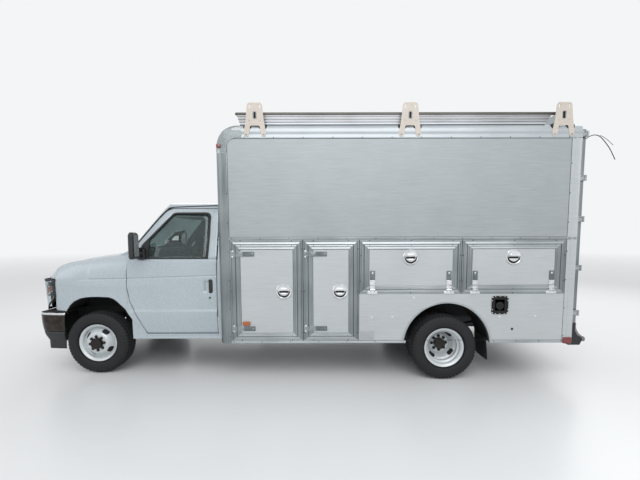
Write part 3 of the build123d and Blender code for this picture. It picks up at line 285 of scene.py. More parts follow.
def netFaces(rows, columns, closeRows=False, closeColumns=False):
    # quads that join every point to its next neighbours in both parameters, going round where they close
    i = np.arange(rows if closeRows else rows - 1)[:, None]
    j = np.arange(columns if closeColumns else columns - 1)[None, :]
    up, on = (i + 1) % rows, (j + 1) % columns
    quads = np.stack([i * columns + j, i * columns + on, up * columns + on, up * columns + j], -1)
    return quads.reshape(-1, 4).tolist()


def net(points, closeRows=False, closeColumns=False, caps=False):
    # a surface over a grid of points; with caps its first and last rows are each closed by one face
    rows, columns = points.shape[:2]
    faces = netFaces(rows, columns, closeRows, closeColumns)
    if caps:
        faces += [list(range(columns)), list(range((rows - 1) * columns, rows * columns))]
    return points.reshape(-1, 3), faces


def bar(points):
    # rings of points, each closed on itself, with a face on the first and on the last
    return net(points, closeColumns=True, caps=True)


def mirrored(part):
    # the same part on the other side of the van, its faces turned round again
    points, faces = part
    return points * np.array([1, -1, 1]), [f[::-1] for f in faces]


def towards(part, hint):
    # an open surface whose faces look along the hint: turned over where the sum of its quads' normals points away
    points, faces = part
    quads = np.array([f for f in faces if len(f) == 4])
    normal = np.cross(points[quads[:, 2]] - points[quads[:, 0]], points[quads[:, 3]] - points[quads[:, 1]]).sum(0)
    return (points, faces) if normal @ np.array(hint) > 0 else (points, [f[::-1] for f in faces])


def smoothLine(x, xs, ys):
    # a cubic Hermite line through given points whose slope at each is the mean of the runs beside it
    xs, ys = np.asarray(xs, float), np.asarray(ys, float)
    run = np.diff(ys) / np.diff(xs)
    slope = np.r_[run[0], (run[1:] + run[:-1]) / 2, run[-1]]
    x = np.clip(x, xs[0], xs[-1])
    k = np.clip(np.searchsorted(xs, x, side="right") - 1, 0, len(xs) - 2)
    h = xs[k + 1] - xs[k]
    t = (x - xs[k]) / h
    return ((2 * t ** 3 - 3 * t ** 2 + 1) * ys[k] + (t ** 3 - 2 * t ** 2 + t) * h * slope[k]
            + (3 * t ** 2 - 2 * t ** 3) * ys[k + 1] + (t ** 3 - t ** 2) * h * slope[k + 1])


def ease(x, low, high):
    # 0 before low, 1 after high and a smooth step between
    t = np.clip((x - low) / (high - low), 0, 1)
    return t * t * (3 - 2 * t)


def roundedLine(corners, radii, steps=5):
    # a closed outline whose corners are arcs: each arc runs between the points one tangent length from its corner
    corners = np.asarray(corners, float)
    radii = np.broadcast_to(np.asarray(radii, float), len(corners))
    before, after = np.roll(corners, 1, 0) - corners, np.roll(corners, -1, 0) - corners
    lengthA, lengthB = np.linalg.norm(before, axis=1), np.linalg.norm(after, axis=1)
    before, after = before / lengthA[:, None], after / lengthB[:, None]
    half = np.arccos(np.clip((before * after).sum(1), -1, 1)) / 2
    cut = np.minimum(radii / np.tan(half), 0.49 * np.minimum(lengthA, lengthB))
    reach = (cut * np.tan(half) / np.sin(half))[:, None]
    middle = corners + (before + after) / np.linalg.norm(before + after, axis=1)[:, None] * reach
    start, end = corners + before * cut[:, None] - middle, corners + after * cut[:, None] - middle
    t = np.linspace(0, 1, steps + 1)[None, :, None]
    swing = (np.pi - 2 * half)[:, None, None]
    arc = (np.sin((1 - t) * swing) * start[:, None] + np.sin(t * swing) * end[:, None]) / np.sin(swing)
    return (middle[:, None] + arc).reshape(-1, 2)


def inset(line, amount):
    # a closed outline moved inwards along its corner bisectors
    a, b = line - np.roll(line, 1, 0), np.roll(line, -1, 0) - line
    a, b = (v / np.maximum(np.linalg.norm(v, axis=1), 1e-9)[:, None] for v in (a, b))
    turn = np.sign((line[:, 0] * np.roll(line[:, 1], -1) - np.roll(line[:, 0], -1) * line[:, 1]).sum())
    normal = (np.c_[-a[:, 1], a[:, 0]] + np.c_[-b[:, 1], b[:, 0]]) * turn
    size = np.maximum((normal ** 2).sum(1) / 2, 0.3)[:, None]
    return line + normal / size * amount


def slab(line, low, high, edge, lay, crown=0.0, steps=3):
    # an outline carried through a depth, drawn in by a quarter circle at both faces; a crown swells its top
    t = np.linspace(0, np.pi / 2, steps + 1)
    insets = np.r_[edge * (1 - np.sin(t)), edge * (1 - np.cos(t))]
    depths = np.r_[low + edge * (1 - np.cos(t)), high - edge * (1 - np.sin(t))]
    rings = np.stack([np.c_[inset(line, k), np.full(len(line), d)] for k, d in zip(insets, depths)])
    if crown:
        centre = rings[-1, :, :2].mean(0)
        more = np.stack([np.c_[centre + (rings[-1, :, :2] - centre) * k, np.full(len(line), high + crown * (1 - k * k))]
                         for k in (0.8, 0.55, 0.25)])
        rings = np.concatenate([rings, more])
    return bar(lay(rings[..., 0], rings[..., 1], rings[..., 2]))


def pierced(outline, holes, low, high, lay):
    # a flat plate with holes: both faces are cut into triangles round them, and every loop gets its own wall
    loops = [np.asarray(loop, float) for loop in [outline] + holes]
    flat = np.concatenate(loops)
    count = len(flat)
    corners = [list(t) for t in tessellate_polygon([[(*p, 0.0) for p in loop] for loop in loops])]
    faces = corners + [[i + count for i in t] for t in corners]
    starts = np.cumsum([0] + [len(loop) for loop in loops])
    here = np.concatenate([np.arange(a, b) for a, b in zip(starts, starts[1:])])
    there = np.concatenate([np.roll(np.arange(a, b), -1) for a, b in zip(starts, starts[1:])])
    faces += np.stack([here, there, there + count, here + count], -1).tolist()
    return np.concatenate([lay(flat[:, 0], flat[:, 1], low), lay(flat[:, 0], flat[:, 1], high)]), faces


def oblong(a0, a1, b0, b1, radius, steps=5):
    # a rounded rectangle between two values each way
    return roundedLine([(a0, b0), (a1, b0), (a1, b1), (a0, b1)], radius, steps)


def shadowLineFrame(box, width, base, top, lay=spot):
    # painted shadow: a narrow black line round a rectangle of (station 0, station 1, height 0, height 1), standing for
    # the thin shade along a step or groove
    inner = (box[0] + width, box[1] - width, box[2] + width, box[3] - width)
    level, upright = mitredFrame(box, inner, [(0.0, top), (1.0, top)], base, lay)
    return level + upright


def blockAt(s0, s1, y0, y1, z0, z1, edge=2.0):
    # a small rounded block between two stations, sides and heights
    return slab(oblong(s0, s1, z0, z1, edge, 3), y0, y1, edge, onSide, steps=2)


def onSide(a, b, c):
    # an outline of stations and heights with its depth measured outwards on the left
    return spot(a, c, b)


def onRear(a, b, c):
    # an outline of sides and heights with its depth measured rearwards
    return spot(c, a, b)


def circleRound(axis, count):
    # unit points of a circle square to an axis
    side = np.cross(axis, (0, 0, 1.0)) if abs(axis[2]) < 0.9 else np.array([1.0, 0, 0])
    side /= np.linalg.norm(side)
    angle = np.linspace(0, 2 * np.pi, count, endpoint=False)
    return np.cos(angle)[None, :, None] * side + np.sin(angle)[None, :, None] * np.cross(axis, side)


def turned(profile, centre, segments=96, along=(0, 1, 0)):
    # a profile of (offset along the axis, radius) carried round the axis; pole rows have a tiny radius and are closed
    axis = np.array(along, float)
    p = np.asarray(profile, float) * mm
    ring = circleRound(axis, segments)
    return bar(np.asarray(centre) + p[:, 0, None, None] * axis + p[:, 1, None, None] * ring)


def rod(low, high, radius, centre, segments, along):
    # a plain cylinder between two offsets along its axis
    return turned([(low, 1), (low, radius), (high, radius), (high, 1)], centre, segments, along)


def carried(profile, path, up=(0, 0, 1)):
    # a closed profile of (across, up) offsets carried along a path, square to it, with a face on each end
    path = np.asarray(path, float)
    tangent = np.gradient(path, axis=0)
    tangent /= np.linalg.norm(tangent, axis=1)[:, None]
    side = np.cross(tangent, np.asarray(up, float))
    side /= np.linalg.norm(side, axis=1)[:, None]
    top = np.cross(side, tangent)
    p = np.asarray(profile, float) * mm
    return bar(path[:, None] + p[None, :, 0, None] * side[:, None] + p[None, :, 1, None] * top[:, None])


def circle(radius, steps=10):
    angle = np.linspace(0, 2 * np.pi, steps, endpoint=False)
    return np.c_[radius * np.cos(angle), radius * np.sin(angle)]


def domes(places, outward, radius, height, sides=8):
    # many small rivet heads as one part: each is a half ellipsoid of a few rings with a flat back
    centres = np.asarray(places, float).reshape(-1, 3)
    axis = np.array(outward, float) / np.linalg.norm(outward)
    ring = np.array([(radius, -1.0), (radius, height * 0.35), (radius * 0.72, height * 0.85),
                     (radius * 0.25, height)]) * mm
    one = (ring[:, 1, None, None] * axis + ring[:, 0, None, None] * circleRound(axis, sides)).reshape(-1, 3)
    faces = np.array(netFaces(len(ring), sides, False, True))
    ends = np.array([list(range(sides)), list(range(3 * sides, 4 * sides))])
    shift = (np.arange(len(centres)) * len(one))[:, None, None]
    points = (centres[:, None] + one[None]).reshape(-1, 3)
    return points, (faces[None] + shift).reshape(-1, 4).tolist() + (ends[None] + shift).reshape(-1, sides).tolist()


def mitredFrame(outer, inner, profile, base, lay=spot):
    # four mitred lengths round an opening; the profile has shares of the way inwards and heights over the base
    # rectangles are (station 0, station 1, height 0, height 1); each length is closed by its back face at the base
    def corners(box):
        return np.array([(box[0], box[2]), (box[1], box[2]), (box[1], box[3]), (box[0], box[3])], float)
    a, b = corners(outer), corners(inner)
    rows = [(0.0, base)] + list(profile) + [(1.0, base)]
    share = np.array([r[0] for r in rows])[:, None, None]
    flat = a[None] + (b - a)[None] * share
    depth = np.broadcast_to(np.array([r[1] for r in rows])[:, None], flat.shape[:2])
    points = lay(flat[..., 0], depth, flat[..., 1])
    level, upright = [], []
    for k in range(4):
        strip = points[:, [k, (k + 1) % 4]].transpose(1, 0, 2)
        (level if k % 2 == 0 else upright).append(bar(strip))
    return level, upright


# the record's material slot that each finish belongs to, unless a piece says otherwise
usualSlots = {
    "cab_paint": ("bakedSilverPaint",),
    "black_plastic": ("grainedBlackPlastic", "sealRubber", "linerBlack"),
    "glass": ("clearGlass", "tintedGlass", "reflectorChrome"),
    "chrome": ("shadedChrome", "chromedSteel", "stainlessStrap", "darkSteelPlate"),
    "frame_aluminium": ("weatheredRail", "castAluminium", "brushedAlong", "brightRail", "brushedUpright",
                        "blackFrameSteel"),
    "black_steel": ("darkBead", "darkHubIron"),
    "rack_paint": ("stonePowderCoat",),
    "body_panel": ("coatedSheet", "blankPlate"),
    "grey_plastic": ("stepGrey", "trimGreyPlastic"),
    "lamp_lens": ("redLens", "amberLens", "clearLens", "darkRedLens"),
    "tyre_rubber": ("mouldedRubber",),
    "wheel_steel": ("paintedWheelSteel",),
    "seat_cloth": ("wovenSeatCloth",),
}
slotOf = {material: slot for slot, materials in usualSlots.items() for material in materials}


def makePiece(name, solids, material, body="vehicle", slot=None, stands=(), skins=(), sharp=35, thick=0.0, second=None,
              chamfer=0.0):
    # one object from its parts: solids get outward normals, skins keep their own and may get a thickness
    extra, extraMaterial = second or ([], None)
    meshPoints, faces, marks, count = [], [], [], 0
    for group, mark in ((solids, 0), (extra, 1), (skins, 0)):
        for points, loops in group:
            faces += [[i + count for i in loop] for loop in loops]
            marks += [mark] * len(loops)
            meshPoints.append(points)
            count += len(points)
    solidFaces = sum(len(loops) for points, loops in solids + extra)
    mesh = bpy.data.meshes.new(name)
    mesh.from_pydata(np.concatenate(meshPoints).tolist(), [], faces)
    mesh.materials.append(paint[material])
    if second:
        mesh.materials.append(paint[extraMaterial])
        mesh.polygons.foreach_set("material_index", np.array(marks, np.int32))
    mesh.polygons.foreach_set("use_smooth", np.ones(len(mesh.polygons), bool))
    if solidFaces:
        shape = bmesh.new()
        shape.from_mesh(mesh)
        shape.faces.ensure_lookup_table()
        bmesh.ops.recalc_face_normals(shape, faces=shape.faces[:solidFaces])
        shape.to_mesh(mesh)
        shape.free()
    mesh.set_sharp_from_angle(angle=math.radians(sharp))
    mesh.update()
    piece = bpy.data.objects.new(name, mesh)
    bpy.context.scene.collection.objects.link(piece)
    if thick:
        wall = piece.modifiers.new("wall", "SOLIDIFY")
        wall.thickness, wall.offset, wall.use_even_offset = thick * mm, -1, False
    if chamfer:
        soft = piece.modifiers.new("softEdge", "BEVEL")
        soft.width, soft.segments, soft.limit_method, soft.angle_limit = chamfer * mm, 2, "ANGLE", math.radians(40)
    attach(piece, body)
    slot = slot or slotOf[material]
    if stands:
        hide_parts(*stands)
    return piece


def bothSides(parts):
    return parts + [mirrored(p) for p in parts]


def handed(side, parts):
    # the parts as made for the left, or mirrored for the right
    return parts if side == "left" else [mirrored(p) for p in parts]


sides = ("left", "right")


def sidePiece(side, name, solids, material, body="vehicle", slot=None, stands=(), skins=(), second=None, **more):
    # a piece drawn for the left, or mirrored for the right; paired bodies and nodes are named without their side
    def own(label):
        return label if label == "vehicle" or label in nodes else f"{side}_{label}"
    second = (handed(side, second[0]), second[1]) if second else None
    return makePiece(f"{side}_{name}", handed(side, solids), material, own(body), slot, [own(n) for n in stands],
                     handed(side, skins), second=second, **more)


def split(part, inside):
    # one surface cut in two by a flag per face, each half keeping only its own points
    points, faces = part
    faces = np.array(faces)
    halves = []
    for chosen in (~inside, inside):
        used, order = np.unique(faces[chosen], return_inverse=True)
        halves.append((points[used], order.reshape(-1, faces.shape[1]).tolist()))
    return halves


def faceMeans(values):
    # the mean of a grid of values over each quad of an open net, in the net's face order
    return ((values[:-1, :-1] + values[1:, :-1] + values[1:, 1:] + values[:-1, 1:]) / 4).ravel()


def rail(s0, s1, section):
    # a closed section of (side, height) carried level from one station to another
    section = np.asarray(section, float)
    return bar(spot(np.array([s0, s1])[:, None], section[None, :, 0], section[None, :, 1]))


def post(z0, z1, section):
    # a closed section of (station, side) carried upright between two heights
    section = np.asarray(section, float)
    return bar(spot(section[None, :, 0], section[None, :, 1], np.array([z0, z1])[:, None]))


# wheels

wheelPlan = {"tyreRadius": 364.0, "lugs": 54, "nutCircle": 82.55, "slotCircle": 152.0, "slotHalf": (41.0, 17.0),
             "frontMid": 881.0, "outerMid": 1114.0, "innerMid": 842.0}
wheelHeight = wheelPlan["tyreRadius"]
frontMid, outerMid, innerMid = (wheelPlan[key] for key in ("frontMid", "outerMid", "innerMid"))


def around(station, mid, offset, radius, angle):
    # a point on a wheel: offset outwards from the tyre's middle, radius from the axle, angle up from the rear
    return spot(station + radius * np.cos(angle), mid + offset, wheelHeight + radius * np.sin(angle))


def tyreNet(station, mid):
    # a closed tyre section carried round the axle; the shoulder rows dip in and back between the lugs
    half = [(0, 364), (6, 364), (9, 356), (17, 356), (20, 363.8), (42, 363.4), (45, 355), (53, 355), (56, 362.8),
            (74, 361), (86, 356), (95, 348.5), (101, 339), (105, 330), (107.5, 327), (108.5, 318), (110.4, 303),
            (110.9, 300), (111.5, 297), (111.5, 282), (110.6, 268), (107.6, 254), (106.5, 246), (101, 240), (95, 236.5),
            (88, 233.5), (80, 231), (77.5, 224), (77.5, 206)]
    outline = np.array([(o, r) for o, r in half] + [(-o, r) for o, r in half[:0:-1]], float)
    offset, radius = outline[:, 0][:, None], outline[:, 1][:, None]
    steps = wheelPlan["lugs"] * 6
    angle = np.linspace(0, 2 * np.pi, steps, endpoint=False)[None, :]
    gap = np.isin(np.arange(steps) % 6, (0, 1))[None, :]
    shoulder = ease(radius, 334, 350) * ease(np.abs(offset), 54, 58)
    shoulder = shoulder + ease(radius, 322, 332) * ease(np.abs(offset), 98, 104) * 0.5
    radius = radius - gap * shoulder * 6.0
    offset = offset - np.sign(offset) * gap * ease(radius, 322, 335) * ease(np.abs(offset), 90, 100) * 3.0
    return net(around(station, mid, offset, radius, angle), closeRows=True, closeColumns=True)


def barrelNet(station, mid):
    # the rolled rim: a closed section with its two flange lips, carried round the axle
    half = [(0, 166), (24, 168), (40, 186), (66, 189), (76, 193), (83, 203), (87, 211), (90.5, 216), (90.5, 219.5),
            (88, 221.5), (84, 221), (80, 214), (77, 205.5), (76, 203), (44, 203), (28, 181), (0, 181)]
    outline = np.array(half + [(-o, r) for o, r in half[::-1][1:-1]], float)
    angle = np.linspace(0, 2 * np.pi, 128, endpoint=False)[None, :]
    return net(around(station, mid, outline[:, :1], outline[:, 1:], angle), closeRows=True, closeColumns=True)


def discNets(station, mid, shape, turnedBy):
    # the dished disc: its offset is a smooth line over the radius, sunk inside four oblong slots; the faces inside the
    # slots are split off so they can be drawn black as painted shade for the open holes
    reach, height = np.array(shape, float).T
    radius = np.linspace(reach[0], reach[-1], 64)[:, None]
    angle = np.linspace(0, 2 * np.pi, 241)[None, :]
    offset = smoothLine(radius, reach, height) + 0 * angle
    turn = np.mod(angle - math.radians(turnedBy) + np.pi / 4, np.pi / 2) - np.pi / 4
    along, across = wheelPlan["slotHalf"]
    away = np.hypot(np.maximum(np.abs(turn * wheelPlan["slotCircle"]) - (along - across), 0),
                    radius - wheelPlan["slotCircle"]) / across
    front = net(around(station, mid, offset - 9 * ease(-away, -1.06, -0.9), radius, angle))
    plain, slots = split(front, faceMeans(away) < 1.0)
    back = net(around(station, mid, smoothLine(radius, reach, height) - 14 + 0 * angle, radius, angle))
    return [towards(plain, (0, 1, 0)), towards(back, (0, -1, 0))], [towards(slots, (0, 1, 0))]


def nutNets(station, mid, offset, first, tall):
    # eight hexagonal nuts with domed ends round the hub
    out = []
    for k in range(8):
        angle = math.radians(first + 45 * k)
        centre = around(station, mid, offset, wheelPlan["nutCircle"], np.array(angle))
        profile = [(-2, 18.5), (2, 18.5), (3, 15.5), (tall - 6, 15.0), (tall, 9.0), (tall + 1, 0.5)]
        out.append(turned(profile, centre, 6))
    return out


frontDisc = [(60, 97), (66, 101), (72, 104), (104, 104), (116, 101.5), (130, 92), (146, 74), (160, 56), (170, 44),
             (178, 38), (186, 36), (189.5, 34)]
rearDisc = [(60, -124.5), (100, -124.5), (112, -119), (126, -100), (142, -76), (156, -58), (166, -50), (174, -47),
            (182, -36), (187.5, -24)]
innerDisc = [(60, 135), (100, 135.5), (116, 128), (140, 100), (160, 66), (176, 40), (187.5, 34)]
for side in sides:
    rear = [tyreNet(wheelbase, outerMid), tyreNet(wheelbase, innerMid)]
    sidePiece(side, "front_tyre_tread", [tyreNet(0, frontMid)], "mouldedRubber", "front_wheel", stands=["front_tyre"])
    sidePiece(side, "rear_tyre_treads", rear, "mouldedRubber", "rear_wheels", stands=["rear_tyres"])
    plates, slots = discNets(0, frontMid, frontDisc, 57)
    sidePiece(side, "front_rim_pressing", [barrelNet(0, frontMid)], "paintedWheelSteel", "front_wheel",
              stands=["front_rim"], skins=plates)
    # painted shade: the slot faces drawn black for the open holes through the disc
    sidePiece(side, "front_rim_slot_shade", [], "linerBlack", "front_wheel", slot="black_steel", skins=slots)
    plates, slots = discNets(wheelbase, outerMid, rearDisc, 52)
    inner, innerSlots = discNets(wheelbase, innerMid, innerDisc, 52)
    barrels = [barrelNet(wheelbase, outerMid), barrelNet(wheelbase, innerMid)]
    sidePiece(side, "rear_rim_pressings", barrels, "paintedWheelSteel", "rear_wheels", stands=["rear_rims"],
              skins=plates + inner)
    # painted shade: the slot faces of both discs drawn black for the open holes
    sidePiece(side, "rear_rim_slot_shade", [], "linerBlack", "rear_wheels", slot="black_steel", skins=slots + innerSlots)
    hub = [turned([(-6, 62), (4, 61), (10, 54), (14, 48), (20, 46), (22, 40), (22, 27), (25, 25), (27, 18), (28, 0.5)],
                  spot(0, frontMid + 98, wheelHeight), 48)]
    sidePiece(side, "front_hub_nuts", hub + nutNets(0, frontMid, 104, 5, 20), "darkHubIron", "front_wheel")
    hub = [turned([(-6, 62), (18, 60), (30, 58), (36, 52), (38, 40), (38, 0.5)],
                  spot(wheelbase, outerMid - 124.5, wheelHeight), 48)]
    sidePiece(side, "rear_hub_nuts", hub + nutNets(wheelbase, outerMid, -124.5, 2, 26), "linerBlack", "rear_wheels",
              slot="black_steel")
print("wheels turned")


# service body: frames, rails, posts and rivets on both flanks

bodyPlan = {"half": 1219.0, "front": 1508.0, "rear": wheelbase + 1411, "rivet": 5.5, "corner": 110.0,
            "roofEdge": (2725.0, 70.0),
            "bays": [((1644, 2443, 454, 1574), (1704, 2381, 499, 1522)),
                     ((2443, 3059, 454, 1574), (2497, 2998, 499, 1522)),
                     ((3059, 4178, 978, 1574), (3109, 4138, 1025, 1522)),
                     ((4178, 5316, 978, 1574), (4234, 5263, 1025, 1522))]}
flank = bodyPlan["half"]
bodyRear = bodyPlan["rear"]
levels, uprights = [], []
# the bay frames' section: share of the width, and height off the flank
bayRows = [(0.0, 1.5), (0.03, 3.2), (0.22, 3.2), (0.26, 1.6), (0.34, 1.6), (0.38, 3.2), (0.6, 3.2), (0.64, 4.6),
           (0.93, 4.6), (0.99, 2.0), (1.0, -3)]
bayRows = [(share, flank + out) for share, out in bayRows]
for outer, inner in bodyPlan["bays"]:
    level, upright = mitredFrame(outer, inner, bayRows, flank - 1)
    levels += level
    uprights += upright


def railSection(low, high, steps):
    # a flat extruded rail on the flank: its height off the wall changes at the given shares of its width
    face = [(flank + out, low + (high - low) * share) for share, out in steps]
    return [(flank - 1, low)] + face + [(flank - 1, high)]


beltRail = rail(1644, bodyRear, railSection(1574, 1602, [(0, 3.5), (0.1, 5.5), (0.55, 5.5), (0.65, 3), (1, 3)]))
sillFront = rail(1644, 3578, railSection(425, 455, [(0, 2), (0.1, 4), (0.5, 4), (0.6, 2.2), (1, 2.2)]))
sillRear = rail(4512, bodyRear - 100, railSection(425, 455, [(0, 2), (0.1, 4), (0.5, 4), (0.6, 2.2), (1, 2.2)]))
edge = np.linspace(0, np.pi / 2, 9)
roofLine = [[(flank - 70 + reach * math.cos(a), 2725 + rise * math.sin(a)) for a in edge]
            for reach, rise in ((73.5, 72.5), (68, 68))]
topSection = [(flank - 1, 2647), (flank + 3, 2648), (flank + 4.5, 2651), (flank + 4.5, 2667), (flank + 2.5, 2670),
              (flank + 2.5, 2700), (flank + 3.5, 2702)]
topSection += roofLine[0] + [(1090, 2797.5), (1090, 2793)] + roofLine[1][::-1]
topRail = rail(1798, bodyRear, topSection)
# painted shadow lines: narrow black strips under the top rail, along the belt rail and sill, round the bays and beside
# the posts, for the thin shade at their steps and grooves
seamShadowLines = [rail(1645, bodyRear - 4, [(flank - 1, z), (flank + out, z), (flank + out, z + 3), (flank - 1, z + 3)])
             for z, out in ((2644, 2.6), (1602, 1.4), (1573, 4.2), (1584, 5.9), (455, 1.4))]
for a, b, c, d in [outer for outer, inner in bodyPlan["bays"]]:
    seamShadowLines += shadowLineFrame((a + 1, b - 1, c + 1, d - 1), 2.6, flank - 1, flank + 3.5)
for a, b, c, d in [outer for outer, inner in bodyPlan["bays"]]:
    seamShadowLines += shadowLineFrame((a + 19, b - 19, c + 15, d - 17), 2.2, flank - 1, flank + 3.5)

# front post: the plan's 110 mm corner with two raised ribs; rear post: a stepped flat extrusion
turn = np.linspace(0, np.pi / 2, 10)
frontSection = ([(1644, flank - 1), (1644, flank + 4), (1640, flank + 5.5), (1628, flank + 5.5), (1624, flank + 3),
                 (1618, flank + 3)]
                + [(1618 - 113 * math.sin(a), 1109 + 113 * math.cos(a)) for a in turn] + [(1505, 1060), (1509, 1060)]
                + [(1618 - 109 * math.sin(a), 1109 + 109 * math.cos(a)) for a in turn[::-1]])
rearSection = [(bodyRear - 106, flank - 1), (bodyRear - 106, flank + 4), (bodyRear - 96, flank + 4),
               (bodyRear - 94, flank + 2), (bodyRear - 66, flank + 2), (bodyRear - 64, flank + 5),
               (bodyRear - 40, flank + 5), (bodyRear - 38, flank + 2.5), (bodyRear - 14, flank + 2.5),
               (bodyRear - 10, flank + 4.5), (bodyRear - 0.5, flank + 4.5), (bodyRear - 0.5, flank - 1)]
seamShadowLines += [post(425, 2640, [(s, flank - 1), (s, flank + 1.6), (s + 2.6, flank + 1.6), (s + 2.6, flank - 1)])
              for s in (bodyRear - 109, 1645)]


def flankSide(s, z):
    # how far out the body's skin stands near its rounded front edge and roof edge
    radius, (roofHeight, roofRadius) = bodyPlan["corner"], bodyPlan["roofEdge"]
    start = bodyPlan["front"] + radius
    corner = np.where(s < start, flank - radius + np.sqrt(np.maximum(radius ** 2 - (start - s) ** 2, 0)), flank)
    over = np.sqrt(np.maximum(roofRadius ** 2 - (z - roofHeight) ** 2, 0))
    roof = np.where(z > roofHeight, flank - roofRadius + over, flank)
    return np.minimum(corner, roof)


# cast corner: a band along the 290 mm arc that covers the flank's edge and wraps over the arc by 80 mm
castPlan = {"centre": (1798, 2505), "radius": 290}
castStation, castHeight = castPlan["centre"]
sweep = np.radians(np.linspace(180, 88, 40))[:, None]
flange = np.interp(np.degrees(sweep), [88, 135, 180], [148, 118, 136])
band = np.array([0, 0.02, 0.5, 0.94, 1.0])[None, :]
rho = castPlan["radius"] - flange * (1 - band)
station, height = castStation + rho * np.cos(sweep), castHeight + rho * np.sin(sweep)
lift = np.array([-1, 5, 5, 5, 3.5])[None, :]
face = spot(station, flankSide(station, height) + lift, height)
over = np.array([(292.5, -1), (293.5, -8), (293.5, -80), (288, -80)])
rimStation = castStation + over[None, :, 0] * np.cos(sweep)
rimHeight = castHeight + over[None, :, 0] * np.sin(sweep)
near = castPlan["radius"] - 1  # just inside the arc, where the skin is still level
rimSide = flankSide(castStation + near * np.cos(sweep), castHeight + near * np.sin(sweep))
rim = spot(rimStation, rimSide + over[None, :, 1], rimHeight)
cornerCap = bar(np.concatenate([face, rim], axis=1))

rivets = [(s, flank + 4.5, 2656) for s in np.arange(1830, bodyRear - 60, 314)]
rivets += [(s, flank + 5.5, 1588) for s in np.arange(1668, bodyRear - 60, 314)]
rivets += [(s, flank + 4, 446) for s in np.r_[np.arange(1668, 3560, 314), np.arange(4560, bodyRear - 110, 250)]]
rivets += [(1633, flank + 5.5, z) for z in np.arange(505, 2480, 313)]
rivets += [(bodyRear - 100, flank + 4, z) for z in np.arange(505, 2630, 313)]
for outer, inner in bodyPlan["bays"]:
    run = np.linspace(inner[0] + 60, inner[1] - 60, 3 if inner[1] - inner[0] > 700 else 2)
    rivets += [(s, flank + 3.2, outer[3] - 11) for s in run]
    rivets += [(s, flank + 3.2, outer[2] + 10) for s in run]
    tall = inner[2] < 900
    for z in ((545, 1010, 1475) if tall else (1120, 1400)):
        rivets += [(outer[0] + 13, flank + 3.2, z), (outer[1] - 13, flank + 3.2, z)]
rivetSpots = spot(*np.array(rivets, float).T)

for side in sides:
    sidePiece(side, "flank_rails", levels + [beltRail, sillFront, sillRear], "brushedAlong",
              second=(uprights, "brushedUpright"))
    sidePiece(side, "top_rail", [topRail], "brightRail")
    sidePiece(side, "flank_posts", [post(425, 2500, frontSection)], "brushedUpright",
              second=([post(425, 2647, rearSection)], "coatedSheet"))
    # painted shadow lines along the rails, round the bays and beside the posts
    sidePiece(side, "flank_seam_shadows", seamShadowLines, "linerBlack")
    sidePiece(side, "corner_casting", [cornerCap], "castAluminium")
    sidePiece(side, "flank_rivets", [domes(rivetSpots, (0, 1, 0), bodyPlan["rivet"], 2.6)], "blackFrameSteel")
print("body frames laid")


# locker doors: panel, mitred edge extrusions, strap hinges and paddle latches

def onFlank(line, low, high, edge, crown=0.0):
    # an outline of stations and heights carried between two depths measured out from the flank
    return slab(line, flank + low, flank + high, edge, onSide, crown)


def tapered(s, half0, z0, half1, z1, radius, steps):
    # a rounded outline with two level edges of unlike length, one above the other
    return roundedLine([(s - half0, z0), (s + half0, z0), (s + half1, z1), (s - half1, z1)], radius, steps)


def latchParts(s, z):
    # a chrome bowl with a rolled rim; returns its bright parts, a black block in the gap between the paddle halves as
    # painted shade, and a black crescent over the bowl's lower part as painted reflection
    centre = spot(s, flank + 2, z)
    bowl = turned([(0, 85), (7, 85), (11.5, 80), (11.5, 74), (7, 69), (3, 62), (2, 30), (2, 0.5)], centre, 72)
    # painted reflection: a black crescent over the lower part of the bowl, where the chrome mirrors dark ground
    angle = np.radians(np.linspace(-205, 25, 40))[:, None]
    share = np.linspace(0, 1, 6)[None, :]
    thick = 30 * np.sqrt(np.clip(np.cos((angle + np.pi / 2) * 0.78), 0, 1))
    radius = 78 - thick * share
    shade = net(spot(s + radius * np.cos(angle), flank + 10.2 - 2.5 * share, z + radius * np.sin(angle)))
    upper = onFlank(tapered(s, 42, z + 8, 30, z + 34, 12, 5), 4, 12, 3, 1.5)
    lower = onFlank(tapered(s, 36, z - 18, 24, z - 42, 12, 5), 4, 13, 3, 1.5)
    # painted shade: a black block in the gap between the paddle halves
    slot = blockAt(s - 52, s + 52, flank + 3, flank + 9, z - 16, z + 6, 3)
    return [bowl, upper, lower], [slot], [towards(shade, (0, 1, 0))]


hingePlan = {"out": 10, "barrel": 10, "barrelHalf": 12, "ear": 10.5, "ears": ((-28, -12.8), (12.8, 28))}


def boltAt(s, y, z, radius=8.5):
    # a hexagonal bolt head on its washer
    profile = [(-1, radius + 3), (1, radius + 3), (1.5, radius), (5, radius), (6.5, radius - 2), (7, 0.5)]
    return turned(profile, spot(s, y, z), 6)


def earPair(centre, along):
    # the two fixed rings of a hinge, one each side of the moving barrel
    return [rod(low, high, hingePlan["ear"], centre, 20, along) for low, high in hingePlan["ears"]]


def barrelAt(centre, along):
    # the ring that turns with the door
    return rod(-hingePlan["barrelHalf"], hingePlan["barrelHalf"], hingePlan["barrel"], centre, 20, along)


def sideStrap(s, z):
    # the door half of a strap hinge on an upright edge: a stepped strap, a barrel and two bolts
    strap = onFlank(oblong(s - 2, s + 84, z - 28, z + 28, 4, 3), -0.5, 8.5, 1.5)
    tail = onFlank(oblong(s + 82, s + 208, z - 26, z + 26, 7, 3), 1, 6.5, 1.5)
    barrel = barrelAt(spot(s, flank + hingePlan["out"], z), (0, 0, 1))
    return [tail], [strap, barrel], [boltAt(s + 44, flank + 8, z), boltAt(s + 186, flank + 6, z)]


